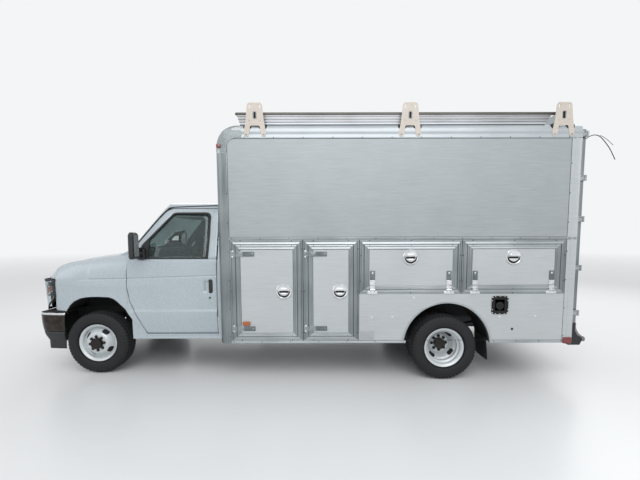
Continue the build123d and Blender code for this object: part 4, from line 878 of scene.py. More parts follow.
def sideJamb(s, z):
    # the jamb half: a plate with shaped ends, two ears with their webs, and two bolts
    outline = [(s - 46, z - 30), (s - 10, z - 52), (s - 10, z + 52), (s - 46, z + 30)]
    plate = onFlank(roundedLine(outline, 8, 3), -1, 7.2, 1.5)
    ears = earPair(spot(s, flank + 10, z), (0, 0, 1))
    webs = [blockAt(s - 21, s, flank + 0.5, flank + 17.6, z + k - 7.8, z + k + 7.8, 2) for k in (-20, 20)]
    return [plate] + ears + webs, [boltAt(s - 28, flank + 6.5, z + 30, 6), boltAt(s - 28, flank + 6.5, z - 30, 6)]


def dropStrap(s, z):
    # the door half on a bottom edge: chrome knuckle and block with a dark strap above
    knuckle = onFlank(oblong(s - 28, s + 28, z + 13, z + 46, 5, 3), -0.5, 11, 2.5)
    neck = blockAt(s - 11.4, s + 11.4, flank + 0.5, flank + 10, z + 1, z + 18, 2)
    block = onFlank(oblong(s - 29, s + 29, z + 52, z + 104, 5, 3), -0.5, 12, 3)
    strap = onFlank(oblong(s - 27.5, s + 27.5, z + 20, z + 207, 6, 3), -0.5, 6.5, 1.5)
    barrel = barrelAt(spot(s, flank + hingePlan["out"], z), (1, 0, 0))
    return [strap], [knuckle, neck, block, barrel], [boltAt(s, flank + 6, z + 184), boltAt(s, flank + 11.5, z + 78, 6)]


def dropJamb(s, z):
    # the jamb half on a bottom edge: a broad foot with a pad, and two ears with their webs
    foot = onFlank(tapered(s, 62, z - 46, 50, z - 16, 8, 4), -1, 12, 4)
    pad = onFlank(tapered(s, 36, z - 30, 30, z - 11, 5, 3), -1, 14, 3)
    ears = earPair(spot(s, flank + 10, z), (1, 0, 0))
    webs = [blockAt(s + k - 7.2, s + k + 7.2, flank + 0.5, flank + 15, z - 21, z - 4, 2) for k in (-20.4, 20.4)]
    return [foot, pad] + ears + webs


lockerPlan = {
    "front_locker_door": {"edges": (1707.5, 2377.5, 502.5, 1518.5), "panel": (1758, 2334, 542, 1469),
                          "latch": (2231, 1010), "straps": (594, 1420)},
    "rear_locker_door": {"edges": (2500.5, 2994.5, 502.5, 1518.5), "panel": (2551, 2944, 542, 1469),
                         "latch": (2848, 1010), "straps": (594, 1420)},
    "front_drop_door": {"edges": (3112.5, wheelbase + 121.5, 1028.5, 1518.5), "panel": (3166, 4083, 1064, 1468),
                        "latch": (3619.5, 1382), "pins": (3204, 4043, 1025)},
    "rear_drop_door": {"edges": (wheelbase + 224.5, bodyRear - 164.5, 1028.5, 1518.5),
                       "panel": (4292, 5199, 1072, 1472), "latch": (4744.5, 1382), "pins": (4329, 5168, 1025)},
}
doorEdge = [(share, flank + out) for share, out in
            ((0.0, 1.0), (0.06, 2.2), (0.4, 2.2), (0.45, 0.6), (0.58, 0.6), (0.63, 2.2), (0.9, 2.2), (1.0, 0.4))]
jambs, jambBolts, feet = [], [], []
for name, plan in lockerPlan.items():
    s0, s1, z0, z1 = plan["edges"]
    leaf = slab(oblong(s0, s1, z0, z1, 2, 1), flank - 40, flank - 0.2, 1.0, onSide, steps=1)
    level, upright = mitredFrame(plan["edges"], plan["panel"], doorEdge, flank - 1)
    bright, dark, shade = latchParts(*plan["latch"])
    if "straps" in plan:
        hinges = [sideStrap(s0 - 3.5, z) for z in plan["straps"]]
        for z in plan["straps"]:
            plates, bolts = sideJamb(s0 - 3.5, z)
            jambs += plates
            jambBolts += bolts
    else:
        hinges = [dropStrap(s, plan["pins"][2]) for s in plan["pins"][:2]]
        feet += sum([dropJamb(s, plan["pins"][2]) for s in plan["pins"][:2]], [])
    straps, knuckles, bolts = [sum([h[k] for h in hinges], []) for k in range(3)]
    rivetRun = [(s, flank + 2.4, z) for s in np.linspace(s0 + 60, s1 - 60, 3 if s1 - s0 > 700 else 2)
                for z in (z0 + 10, z1 - 9)]
    heads = [domes(spot(*np.array(rivetRun, float).T), (0, 1, 0), bodyPlan["rivet"], 2.4)]
    # painted shadow lines: narrow black strips round the door's panel and just inside its outer edge
    lines = shadowLineFrame(plan["panel"], 2.4, flank - 1, flank + 1.6)
    lines += shadowLineFrame((s0 + 0.5, s1 - 0.5, z0 + 0.5, z1 - 0.5), 2.0, flank - 1, flank + 1.8)
    chromed = "straps" not in plan
    for side in sides:
        sidePiece(side, name + "_panel", [leaf], "coatedSheet", name, stands=[name], second=(lines, "linerBlack"))
        sidePiece(side, name + "_edges", level, "brushedAlong", name, second=(upright, "brushedUpright"))
        sidePiece(side, name + "_latch", bright, "chromedSteel", name, second=(dark, "linerBlack"))
        # the latch's painted reflection crescent
        sidePiece(side, name + "_latch_bowl", [], "linerBlack", name, skins=shade)
        sidePiece(side, name + "_straps", straps + heads, "darkSteelPlate", name,
                  second=(knuckles + bolts, "chromedSteel" if chromed else "stainlessStrap"))
for side in sides:
    sidePiece(side, "hinge_jambs", jambs, "stainlessStrap", second=(feet + jambBolts, "chromedSteel"))
print("locker doors dressed")


# cab: flank shape, door skins, fenders, hood and glass

cabPlan = {"plan": ((-676, -650, -600, -536, -398, -228, 53, 430, 1500),
                    (812, 852, 893, 922, 962, 992, 1003, 1005, 1005)),
           "relief": ((420, 486, 600, 740, 900, 1100, 1250, 1335, 1400, 1600, 1890, 1944, 1998),
                      (-36, -28, -12, 0, -1, 0, -4, -12, -30, -86, -167, -207, -247)),
           "ledge": (740, 774, 16.0), "crease": (8.0, 4.0, 20.0),
           "top": ((-676, -650, -536, -398, -228, 53, 430), (1160, 1178, 1276, 1326, 1356, 1398, 1436)),
           "shoulder": 175, "shoulderRise": 222, "crown": 34, "arcRun": 200,
           "screenLean": 0.89, "screenPlan": ((0, 500, 800, 900, 1010), (200, 228, 306, 350, 420))}


def creaseHeight(s):
    # the upper body line: it climbs a little towards the rear
    return np.where(s < 394, 1117 + (s + 412) * 19 / 806, 1136 + (s - 394) * 30 / 1044)


def cabSide(s, z):
    # how far the cab's side stands out: plan curve, barrel section, a ledge low down and a sharp groove higher up
    low, high, step = cabPlan["ledge"]
    depth, above, below = cabPlan["crease"]
    rise = z - creaseHeight(s)
    ledge = step * (1 - ease(z, low, high)) * ease(s, 330, 430)
    groove = depth * np.maximum(0, 1 - np.where(rise > 0, rise / above, -rise / below)) * ease(s, -565, -500)
    bulge = 7 * np.exp(-((z - 1045) / 55) ** 2) * ease(s, -420, -150) * (1 - ease(s, 500, 1000))
    return smoothLine(s, *cabPlan["plan"]) + smoothLine(z, *cabPlan["relief"]) + ledge - groove + bulge


def noseTop(s, y):
    # the bonnet's height: a falling centre line, a gentle crown across and a quarter-ellipse shoulder 175 mm wide
    wide, rise = cabPlan["shoulder"], cabPlan["shoulderRise"]
    w = smoothLine(s, *cabPlan["plan"])
    inside = np.clip((wide - (w - np.abs(y))) / wide, 0, 1)
    return smoothLine(s, *cabPlan["top"]) - cabPlan["crown"] * (y / w) ** 2 - rise * (1 - np.sqrt(1 - inside ** 2))


def screenAt(y, z):
    # the station of the windshield's plane curve at a place across the van and a height
    return np.interp(np.abs(y), *cabPlan["screenPlan"]) + cabPlan["screenLean"] * (z - 1400)


def openLine(corners, radii, run, arc):
    # an open line with rounded inner corners, with the same count of points on every run and every arc
    corners = np.asarray(corners, float)
    middle, before, after = corners[1:-1], corners[:-2] - corners[1:-1], corners[2:] - corners[1:-1]
    lengthA, lengthB = np.linalg.norm(before, axis=1), np.linalg.norm(after, axis=1)
    a, b = before / lengthA[:, None], after / lengthB[:, None]
    cut = np.minimum(radii, 0.45 * np.minimum(lengthA, lengthB))[:, None]
    start, end = middle + a * cut, middle + b * cut
    t = np.linspace(0, 1, arc)[None, :, None]
    bends = (1 - t) ** 2 * start[:, None] + 2 * t * (1 - t) * middle[:, None] + t ** 2 * end[:, None]
    froms, tos = np.concatenate([corners[:1], end]), np.concatenate([start, corners[-1:]])
    t = np.linspace(0, 1, run + 2)[1:-1][None, :, None]
    runs = froms[:, None] + (tos - froms)[:, None] * t
    parts = [corners[:1]] + sum([[runs[k], bends[k]] for k in range(len(middle))], []) + [runs[-1], corners[-1:]]
    return np.concatenate(parts)


doorPlan = {"front": ((486, 862, 1035, 1353), (602, 415, 392, 394)), "rear": 1429.0, "sill": 1353.0,
            "scoop": (1330, 1037, 58, 76, 20.0),
            "outer": [(394, 1353), (394, 1395), (838, 1940), (1429, 1940), (1429, 1353)], "outerRound": (20, 60, 24),
            "inner": [(545, 1353), (556, 1515), (905, 1895), (1345, 1895), (1330, 1353)], "innerRound": (40, 60, 70)}


creaseSteps = np.array([-26, -22, -20, -17, -13, -9, -5, -2, 0, 1, 2.5, 4, 6, 10, 16], float)


def doorLower():
    # the door below the glass: heights crowded round the ledge and the groove, stations from the slanted front edge
    v = np.unique(np.concatenate([np.linspace(486, doorPlan["sill"], 46), np.linspace(742, 770, 15),
                                  np.linspace(955, 1120, 24)]))
    share = np.linspace(0, 1, 70)[None, :]
    front = np.interp(v, *doorPlan["front"])[:, None]
    s = front + (doorPlan["rear"] - front) * share
    z = np.broadcast_to(v[:, None], s.shape).copy()
    below, above = v < 1105, v > 1197
    onCrease = np.broadcast_to(393 + (doorPlan["rear"] - 393) * share, (len(creaseSteps), s.shape[1]))
    z = np.concatenate([z[below], creaseHeight(onCrease) + creaseSteps[:, None], z[above]])
    s = np.concatenate([s[below], onCrease, s[above]])
    s0, z0, a, b, deep = doorPlan["scoop"]
    scoop = deep * ease(1 - np.maximum(np.abs((s - s0) / a), np.abs((z - z0) / b)), 0, 0.35)
    return net(spot(s, cabSide(s, z) - scoop, z))


def doorUpper():
    # the frame round the glass: a band between the door's outline and the opening's, rolled in at the glass
    outer = openLine(doorPlan["outer"], doorPlan["outerRound"], 14, 8)
    inner = openLine(doorPlan["inner"], doorPlan["innerRound"], 14, 8)
    share = np.array([0, 0.06, 0.2, 0.4, 0.6, 0.8, 0.92, 1.0, 1.0])[:, None]
    s = outer[None, :, 0] + (inner - outer)[None, :, 0] * share
    z = outer[None, :, 1] + (inner - outer)[None, :, 1] * share
    roll = np.array([-3, 0, 0, 0, 0, 0, -1, -5, -24])[:, None]
    return net(spot(s, cabSide(s, z) + roll, z))


def ringOn(outline, width, out, side=1):
    # a flat seal that follows a closed outline on the cab's side: outer edge, top and inner edge, with a back
    steps = np.array([0, 0.0, 0.25, 0.75, 1.0, 1.0])
    lift = np.array([-14, out - 1, out, out, out - 1, -14])
    rings = np.stack([inset(outline, width * k) for k in steps])
    return net(spot(rings[..., 0], cabSide(rings[..., 0], rings[..., 1]) + lift[:, None], rings[..., 1]),
               closeRows=True, closeColumns=True)


windowLine = roundedLine(doorPlan["inner"], (14, 40, 60, 70, 24), 8)
paneLine = roundedLine([(548, 1350), (562, 1512), (908, 1888), (1338, 1888), (1324, 1350)], (8, 40, 60, 70, 20), 8)


def pane(line, drop):
    # a curved side glass: the outline drawn in towards its middle in rings, laid on the cab's side a little inboard
    centre = line.mean(0)
    share = np.array([1.0, 0.85, 0.6, 0.35, 0.1])
    rings = centre + (line - centre)[None] * share[:, None, None]
    return net(spot(rings[..., 0], cabSide(rings[..., 0], np.maximum(rings[..., 1], doorPlan["sill"])) - drop,
                    rings[..., 1]), closeColumns=True)


def innerTrim():
    # the door's inside: a moulded panel with an armrest swell
    z, s = np.linspace(505, 1340, 30)[:, None], np.linspace(0, 1, 40)[None, :]
    front = np.interp(z, *doorPlan["front"]) + 25
    s = front + (doorPlan["rear"] - 25 - front) * s
    rest = 55 * np.exp(-((z - 1060) / 38) ** 4) * ease(s, 620, 720) * (1 - ease(s, 1180, 1260))
    return net(spot(s, cabSide(s, z) - 62 - rest, z + 0 * s))


mirrorLine = [(546, 1392), (556, 1362), (594, 1366), (608, 1400), (610, 1618), (598, 1656), (566, 1664), (548, 1626)]
mirrorShell = slab(roundedLine(mirrorLine, 24, 6), 1104, 1242, 24, onSide, 4)
mirrorGlass = net(spot(611.5, np.linspace(1122, 1224, 8)[:, None], np.linspace(1394, 1636, 8)[None, :]))
sailLine = roundedLine([(541, 1352), (553, 1512), (640, 1602), (640, 1352)], 12, 4)
sail = slab(sailLine, 0, 1, 1, lambda s, z, share: spot(s, cabSide(s, z) - 14 + 16 * share, z))
mirrorArms = [carried(circle(17, 12) * (1, 1.4), spot([575, 575, 574, 574], [940, 985, 1040, 1112],
                                                      [z, z, z - 2, z - 2]), (0, 0, 1)) for z in (1388, 1468)]
foot = slab(roundedLine([(520, 1350), (520, 1404), (610, 1500), (618, 1350)], 20, 5), 940, 1012, 8, onSide)
handleBar = slab(oblong(1334, 1378, 955, 1119, 14, 5), 984, 1006, 6, onSide)
lockBarrel = turned([(-8, 13), (3, 13), (5, 11), (5, 0.5)], spot(1346, 1000, 904), 24)

for side in sides:
    sidePiece(side, "cab_door_skin", [], "bakedSilverPaint", "cab_door", stands=["cab_door"],
              skins=[towards(p, (0, 1, 0)) for p in (doorLower(), doorUpper())], thick=22, sharp=30)
    sidePiece(side, "cab_door_trim", [], "trimGreyPlastic", "cab_door", skins=[towards(innerTrim(), (0, -1, 0))])
    sidePiece(side, "cab_door_seals", [ringOn(windowLine, 20, 1.0), sail], "sealRubber", "cab_door")
    sidePiece(side, "cab_door_pull", [handleBar], "grainedBlackPlastic", "cab_door",
              second=([lockBarrel], "darkHubIron"))
    sidePiece(side, "door_pane", [], "tintedGlass", "cab_door", stands=["door_glass"],
              skins=[towards(pane(paneLine, 16), (0, 1, 0))], thick=4)
    sidePiece(side, "mirror_head", [mirrorShell, foot] + mirrorArms, "grainedBlackPlastic", "cab_door",
              stands=["mirror"])
    sidePiece(side, "mirror_glass", [], "reflectorChrome", "cab_door", skins=[towards(mirrorGlass, (-1, 0, 0))])
print("cab doors skinned")

arch = np.array([(-484, 745), (-345, 745), (-339, 758), (-300, 812), (-251, 857), (-168, 898), (-100, 911), (-37, 917),
                 (60, 918), (174, 913), (225, 895), (269, 863), (361, 772), (452, 640), (525, 505), (541, 422)], float)


def fenderSkins():
    # side, shoulder and top in one sweep: the height up to the shoulder, then the angle of a quarter ellipse
    wide, rise, crown, run = (cabPlan[key] for key in ("shoulder", "shoulderRise", "crown", "arcRun"))

    def sheet(s, low):
        w = smoothLine(s, *cabPlan["plan"])
        base = smoothLine(s, *cabPlan["top"]) - rise - crown
        last = np.arccos(np.clip(1 - (w - 845) / wide, -1, 1))
        end = base + run * np.minimum(last, np.pi / 2)
        crest = np.maximum(np.minimum(creaseHeight(s), base + 190), low + 3)
        lower = low + (np.maximum(crest - 27, low + 1) - low) * np.linspace(0, 1, 22)[:-1, None]
        middle = np.maximum(crest + creaseSteps[:, None], low + 2)
        upper = middle[-1:] + (end - middle[-1:]) * np.linspace(0, 1, 34)[1:, None]
        u = np.concatenate([lower, middle, upper])
        angle = np.clip((u - base) / run, 0, np.pi / 2)
        y = np.where(u <= base, cabSide(s, u), cabSide(s, np.minimum(u, base)) - wide * (1 - np.cos(angle)))
        z = np.where(u <= base, u, base + rise * np.sin(angle) + crown * (1 - (y / w) ** 2) * np.sin(angle))
        return net(spot(s + 0 * u, y, z))
    ahead = np.linspace(-664, -484, 18)[None, :]
    over = np.unique(np.concatenate([np.linspace(-484, 386, 80), arch[1:13, 0]]))[None, :]
    low = np.interp(over, arch[:, 0], arch[:, 1])
    behind = np.linspace(386, 595, 26)[None, :]
    lowBehind = np.interp(behind, (361, 452, 525, 537, 595), (772, 640, 505, 423, 422))
    highBehind = np.interp(behind, (386, 408, 595), (1035, 862, 479))
    share = np.linspace(0, 1, 24)[:, None]
    z = lowBehind + (np.maximum(highBehind, lowBehind + 4) - lowBehind) * share
    return [sheet(ahead, 1118 + 0 * ahead), sheet(over, low), net(spot(behind + 0 * z, cabSide(behind, z), z))]


def spread(line, count):
    # a line's two columns at the given count of even steps along its points
    at, known = np.linspace(0, 1, count), np.linspace(0, 1, len(line))
    return [np.interp(at, known, column) for column in line.T]


archS, archZ = spread(arch, 70)
across = np.array([0, 0.02, 0.4, 1.0])[:, None]
edgeSide = cabSide(archS, archZ)[None, :]
archLiner = net(spot(archS[None, :] + 0 * across, edgeSide - 2 + (610 - edgeSide) * across,
                     archZ[None, :] + 3 + 14 * ease(across, 0, 0.3)))
splash = blockAt(-478, -462, 600, 930, 500, 744, 4)
for side in sides:
    sidePiece(side, "fender_skin", [], "bakedSilverPaint", stands=["fenders"] if side == "left" else [],
              skins=[towards(p, (0, 1, 0.3)) for p in fenderSkins()], thick=8, sharp=30)
    sidePiece(side, "arch_liner", [splash], "linerBlack", skins=[towards(archLiner, (0, 0, -1))])

hoodPlan = {"half": ((-676, -650, -600, -560, 165), (728, 775, 826, 838, 838))}


def hoodSkin():
    # the bonnet over its outline: the nose height plus a shallow power bulge, with a rolled front lip
    s = np.concatenate([np.linspace(-672, -560, 16), np.linspace(-545, 165, 40)])[None, :]
    share = np.concatenate([[-1.0], np.linspace(-0.995, 0.995, 81), [1.0]])[:, None]
    y = share * np.interp(s, *hoodPlan["half"])
    bulge = 9 * (1 - ease(np.abs(y), 470, 560)) * ease(s, -640, -420)
    z = noseTop(s, y) + bulge - 10 * (np.abs(share) > 0.999)
    recede = 26 * (np.abs(y) / 700) ** 3 * (1 - ease(s, -660, -520))
    top = spot(s + recede, y, z)
    front = s[:, :1]
    ahead, drop = np.array([(10, -42), (1, -40), (-6, -30), (-7, -14)]).T[:, None, :]
    lip = spot(front + recede[:, :1] + ahead, y[:, :1], np.maximum(z[:, :1] + drop, 1126 - 8 * (ahead > 5)))
    return net(np.concatenate([lip, top], axis=1))


makePiece("hood_skin", [], "bakedSilverPaint", "hood", stands=["hood"], skins=[towards(hoodSkin(), (0, 0, 1))],
          thick=14, sharp=30)
y = np.linspace(-836, 836, 61)[:, None]
t = np.linspace(0, 1, 14)[None, :]
foot = np.interp(np.abs(y), *cabPlan["screenPlan"]) + cabPlan["screenLean"] * 52 + 22
cowlStation = 170 + (foot - 170) * t
cowlFront = noseTop(168.0, y)
ridges = 2.5 * (np.arange(14) % 2)[None, :]
cowlHeight = cowlFront - 14 + (1450 - cowlFront + 14) * t - 10 * np.sin(np.pi * t) + ridges
cowl = net(spot(cowlStation, y + 0 * t, cowlHeight))
makePiece("cowl_grille", [], "grainedBlackPlastic", skins=[towards(cowl, (0, 0, 1))], thick=6)
screenLow, screenHigh = 1450, 1907
z = np.linspace(screenLow, screenHigh, 24)[None, :]
halfWidth = 782 - 82 * (z - screenLow) / (screenHigh - screenLow)
y = np.linspace(-1, 1, 61)[:, None] * halfWidth
screenStation = screenAt(y, z)
screen = net(spot(screenStation + 22, y, z + 0 * y))
share = np.abs(faceMeans(y / halfWidth))
border = (share > 0.955) | (faceMeans(z + 0 * y) < 1478) | (faceMeans(z + 0 * y) > 1885)
glass, frit = split(screen, border)
makePiece("windshield_pane", [], "clearGlass", stands=["windshield"], skins=[towards(glass, (1, 0, 0.8))], thick=5)
makePiece("windshield_border", [], "sealRubber", skins=[towards(frit, (1, 0, 0.8))], thick=6)

# wipers: two arms from the cowl with blades parked along the foot of the screen
bladeY = np.linspace(0, 1, 14)
wiperParts = []
for rootY, blade in ((560, (690, 60)), (-120, (40, -600))):
    along = blade[0] + (blade[1] - blade[0]) * bladeY
    lift = 1462 + 26 * bladeY
    bladeS = screenAt(along, lift) - 16
    wiperParts.append(carried([(-7, -12), (7, -12), (5, 10), (-5, 10)], spot(bladeS, along, lift), (0, 0, 1)))
    middle = 0.45
    armY = rootY + (blade[0] + (blade[1] - blade[0]) * middle - rootY) * np.linspace(0, 1, 6)
    armZ = np.interp(np.linspace(0, 1, 6), (0, 0.5, 1), (1432, 1462, 1462 + 26 * middle + 10))
    armS = screenAt(armY, armZ) - np.interp(np.linspace(0, 1, 6), (0, 0.4, 1), (30, 46, 26))
    wiperParts.append(carried(circle(9, 10) * (1, 0.8), spot(armS, armY, armZ), (0, 0, 1)))
    wiperParts.append(turned([(-20, 16), (14, 15), (19, 10), (19, 0.5)], spot(armS[0], armY[0], 1434), 20, (0, 0, 1)))
makePiece("wipers", wiperParts, "grainedBlackPlastic")
rocker = rail(602, 1500, [(980, 420), (1000, 421), (1005, 427), (1005, 436), (1000, 442), (1000, 462), (1006, 468),
                          (1005, 476), (1000, 480), (980, 480)])
gutterLine = np.array([(500, 1530), (832, 1951), (870, 1961), (1100, 1971), (1496, 1983)], float)
s, z = spread(gutterLine, 40)
gutter = carried([(-4, -5), (5, -5), (5, 4), (-4, 4)], spot(s, cabSide(s, z) + 6, z), (0, 1, 0))
for side in sides:
    sidePiece(side, "rocker_rail", [rocker], "bakedSilverPaint")
    sidePiece(side, "roof_gutter", [gutter], "sealRubber")
bayWalls = [blockAt(-600, 420, 556, 566, 738, 1010, 3)]
makePiece("engine_bay_sides", bothSides(bayWalls), "linerBlack")
print("cab skins laid")


# nose: headlamps, grille, bumper

lampPlan = {"line": [(-668, 650), (-671, 730), (-668, 800), (-656, 858), (-628, 902), (-570, 930), (-487, 946)],
            "low": ((0, 0.62, 1), (748, 752, 912)),
            "top": 1117.0, "lean": 34.0}
lampLine = np.array(lampPlan["line"], float)
lampRun = np.r_[0, np.cumsum(np.hypot(*np.diff(lampLine, axis=0).T))]
lampRun /= lampRun[-1]


def lampPatch(t0, t1, v0, v1, inward, count=(14, 10)):
    # a patch of the headlamp's face: along its plan curve and up between its slanted foot and its top, sunk by a depth
    t = np.linspace(t0, t1, count[0])[None, :]
    v = np.linspace(v0, v1, count[1])[:, None]
    s, y = smoothLine(t, lampRun, lampLine[:, 0]), smoothLine(t, lampRun, lampLine[:, 1])
    low = np.interp(t, *lampPlan["low"])
    depth = inward + 0 * v
    z = low + (lampPlan["top"] - low) * v
    lean = lampPlan["lean"] * np.clip((lampPlan["top"] - z) / 370, 0, 1) ** 1.4
    turn = ease(t, 0.3, 0.8)
    s, y = s + depth * (1 - 0.7 * turn) + lean * (1 - 0.5 * turn), y - depth * (0.2 + 0.75 * turn)
    return towards(net(spot(s, y, z)), (0.6, 0.8, 0))


bezel = [lampPatch(0, 1, 0, 0.05, -2), lampPatch(0, 1, 0.95, 1, -2), lampPatch(0, 0.05, 0.05, 0.95, -2),
         lampPatch(0.93, 1, 0.05, 0.95, -2)]
reflectors = [lampPatch(0.07, 0.92, 0.87, 0.94, 16), lampPatch(0.07, 0.92, 0.43, 0.47, 12),
              lampPatch(0.1, 0.55, 0.5, 0.84, 40), lampPatch(0.1, 0.5, 0.1, 0.4, 30)]
shadows = [lampPatch(0.04, 0.96, 0.03, 0.97, 44)]
ambers = [lampPatch(0.56, 0.88, 0.5, 0.7, 14)]
for side in sides:
    sidePiece(side, "headlamp_bezel", [], "grainedBlackPlastic", stands=["lamps"] if side == "left" else [],
              skins=bezel, thick=8)
    sidePiece(side, "headlamp_bowls", [], "reflectorChrome", slot="chrome", skins=reflectors, thick=2)
    sidePiece(side, "headlamp_shade", [], "linerBlack", skins=shadows, thick=2)
    sidePiece(side, "headlamp_amber", [], "amberLens", skins=ambers, thick=3)
    sidePiece(side, "headlamp_lens", [], "clearLens", skins=[lampPatch(0.04, 0.94, 0.04, 0.96, 1, (24, 16))], thick=3)
    red = onFlank(oblong(bodyRear - 102, bodyRear - 6, 418, 488, 12, 4), -1, 19, 6)
    redTop = slab(oblong(1532, 1574, 2553, 2592, 8, 4), 1170, flank + 8, 5, onSide)
    sidePiece(side, "red_markers", [red, redTop], "darkRedLens")
    amber = onFlank(oblong(1773, 1857, 629, 675, 11, 4), -1, 18, 5)
    sidePiece(side, "amber_marker", [amber], "amberLens", "front_locker_door")

bumperPlan = {"line": [(-757, 0), (-757, 150), (-750, 500), (-728, 850), (-650, 950), (-500, 992), (-350, 1001)],
              "rows": [(70, 718), (40, 727), (10, 729), (2, 727), (0, 722), (0, 704), (1, 690), (1, 650), (3, 610),
                       (8, 570), (14, 535), (21, 508), (26, 499), (70, 498)]}
bumperLine = np.array(bumperPlan["line"], float)
bumperRun = np.r_[0, np.cumsum(np.hypot(*np.diff(bumperLine, axis=0).T))]
inwards, heights = np.array(bumperPlan["rows"], float).T


def roundBumper(ends, inwards, heights, least, side):
    # rows carried along the bumper's plan curve from its middle both ways, each to its own end station and set in by
    # its own depth; least and side say how much of that depth is left straight ahead and at the corners
    last = np.interp(ends, (-757, -728, -650, -500, -350), bumperRun[[0, 3, 4, 5, 6]])
    reach = np.linspace(0, 1, 60)[None, :] * last[:, None]
    reach = np.concatenate([-reach[:, :0:-1], reach], axis=1)
    s, y = (smoothLine(np.abs(reach), bumperRun, bumperLine[:, k]) for k in (0, 1))
    ahead = 1 - ease(np.abs(reach), bumperRun[3] - 60, bumperRun[5])
    across = (y - inwards[:, None] * (1 - ahead) * side) * np.sign(reach)
    return net(spot(s + inwards[:, None] * (least + (1 - least) * ahead), across, heights[:, None] + 0 * s)), s


shell, s = roundBumper(-350 - 0.1 * (728 - heights), inwards, heights, 0.25, 0.8)
# one plating in two colours: the face below 704 mm takes the brown grey painted reflection of the ground, the top ledge
# stays bright chrome
face, ledge = split(shell, faceMeans(heights[:, None] + 0 * s) > 704)
makePiece("front_bumper_face", [], "shadedChrome", stands=["front_bumper"], skins=[towards(face, (1, 0, -0.1))],
          thick=5)
makePiece("front_bumper_ledge", [], "chromedSteel", skins=[towards(ledge, (0.2, 0, 1))], thick=5)
# painted shade: a black plate across the gap between the bumper's top and the lamps and grille above it
pad = [blockAt(-640, -345, 0, 968, 730, 744, 3)]
makePiece("bumper_gap_shade", bothSides(pad), "linerBlack")
# black apron below the bumper: it runs in under the face, drops to a skirt and turns round the corner to the arch
apronRows = np.array([(30, 500), (32, 482), (50, 448), (88, 404), (100, 396), (104, 380), (106, 300), (112, 292),
                      (130, 292)], float)
apronIn, apronHigh = apronRows[:, 0], apronRows[:, 1]
apronEnds = np.interp(apronHigh, (292, 396, 500), (-398, -392, -376))
apron, _ = roundBumper(apronEnds, apronIn, apronHigh, 0.1, 0.45)
makePiece("bumper_apron", [], "grainedBlackPlastic", stands=["front_valance"], skins=[towards(apron, (1, 0, 0))],
          thick=5)
bars = [slab(oblong(-632, 632, z, z + 16, 6, 3), -676, -668, 2, onRear) for z in (838, 922, 1006)]
surround = [slab(oblong(-648, 648, z, z + 26, 8, 3), -679, -660, 3, onRear) for z in (744, 1094)]
surround += [slab(oblong(y, y + 24, 744, 1120, 8, 3), -679, -660, 3, onRear) for y in (-650, 626)]
makePiece("grille_surround", surround, "chromedSteel", second=(bars, "stainlessStrap"))
print("nose fitted")


# roof rack

rackPlan = {"stations": (1948.0, 3590.0, bodyRear - 210), "tube": (2844.0, 2925.0, 20.0), "face": flank - 70,
            "low": 2795.0, "high": 2936.0,
            "front": (1731.0, 1779.0), "rear": (bodyRear - 276, bodyRear - 378)}
plates, plateBolts, tubeEnds, tubeEndShade, tubes, pads = [], [], [], [], [], []
low, high, half = rackPlan["tube"]
for s in rackPlan["stations"]:
    outline = [(-112, 2664), (-118, 2712), (-101, 2800), (-92, 2870), (-78, 3013), (78, 3013), (92, 2870), (101, 2800),
               (118, 2712), (112, 2664), (72, 2664), (58, 2712), (50, 2778), (-50, 2778), (-58, 2712), (-72, 2664)]
    rounds = (18, 22, 60, 60, 32, 32, 60, 60, 22, 18, 18, 30, 18, 18, 30, 18)
    slots = [oblong(k - 7, k + 7, 2956, 2994, 6.5, 3) for k in (-54, 54)]
    window = oblong(-20, 20, low, high, 4, 2)
    bores = [np.c_[[k], [z]] + circle(5, 10) for k, z in ((-58, 2829), (58, 2829))]
    plates.append(pierced(roundedLine(outline, rounds, 4) + [s, 0], [h + [s, 0] for h in slots + [window] + bores],
                          flank, flank + 8.5, onSide))
    plateBolts += [boltAt(s + k, flank + 8, 2686, 8) for k in (-92, 92)]
    # painted shadow: a black block behind each bracket leg, standing for the shade the bracket throws on the roof's
    # edge
    pads += [blockAt(s + k - 42, s + k + 42, flank - 60, flank - 0.5, 2727, 2790, 6) for k in (-82, 82)]
    ring = np.array([(17, 38), (17, -38), (-17, -38), (-17, 38)], float)
    wall = [(ring, -60), (ring, 6), (ring - np.sign(ring) * 5, 6), (ring - np.sign(ring) * 5, -60)]
    tubeEnds.append(net(np.stack([spot(s + r[:, 0], flank + out, (low + high) / 2 + r[:, 1]) for r, out in wall]),
                        closeRows=True, closeColumns=True))
    # painted shade: a black block inside each hollow tube end
    tubeEndShade.append(blockAt(s - 12.5, s + 12.5, flank - 50, flank - 2, low + 8, high - 8, 1))
    tubes.append(bar(spot(s + np.array([20, 20, -20, -20])[None, :], np.array([-flank + 50, flank - 50])[:, None],
                          np.array([low, high, high, low])[None, :])))


def rackRail(section):
    # a ribbed section carried along the roof's edge, both ends cut back on a slant towards the bottom
    p = np.array(section, float)
    share = (p[:, 1] - rackPlan["low"]) / (rackPlan["high"] - rackPlan["low"])
    ends = [end[1] + (end[0] - end[1]) * share for end in (rackPlan["front"], rackPlan["rear"])]
    return bar(np.stack([spot(ends[0], p[:, 0], p[:, 1]), spot(ends[1], p[:, 0], p[:, 1])]))


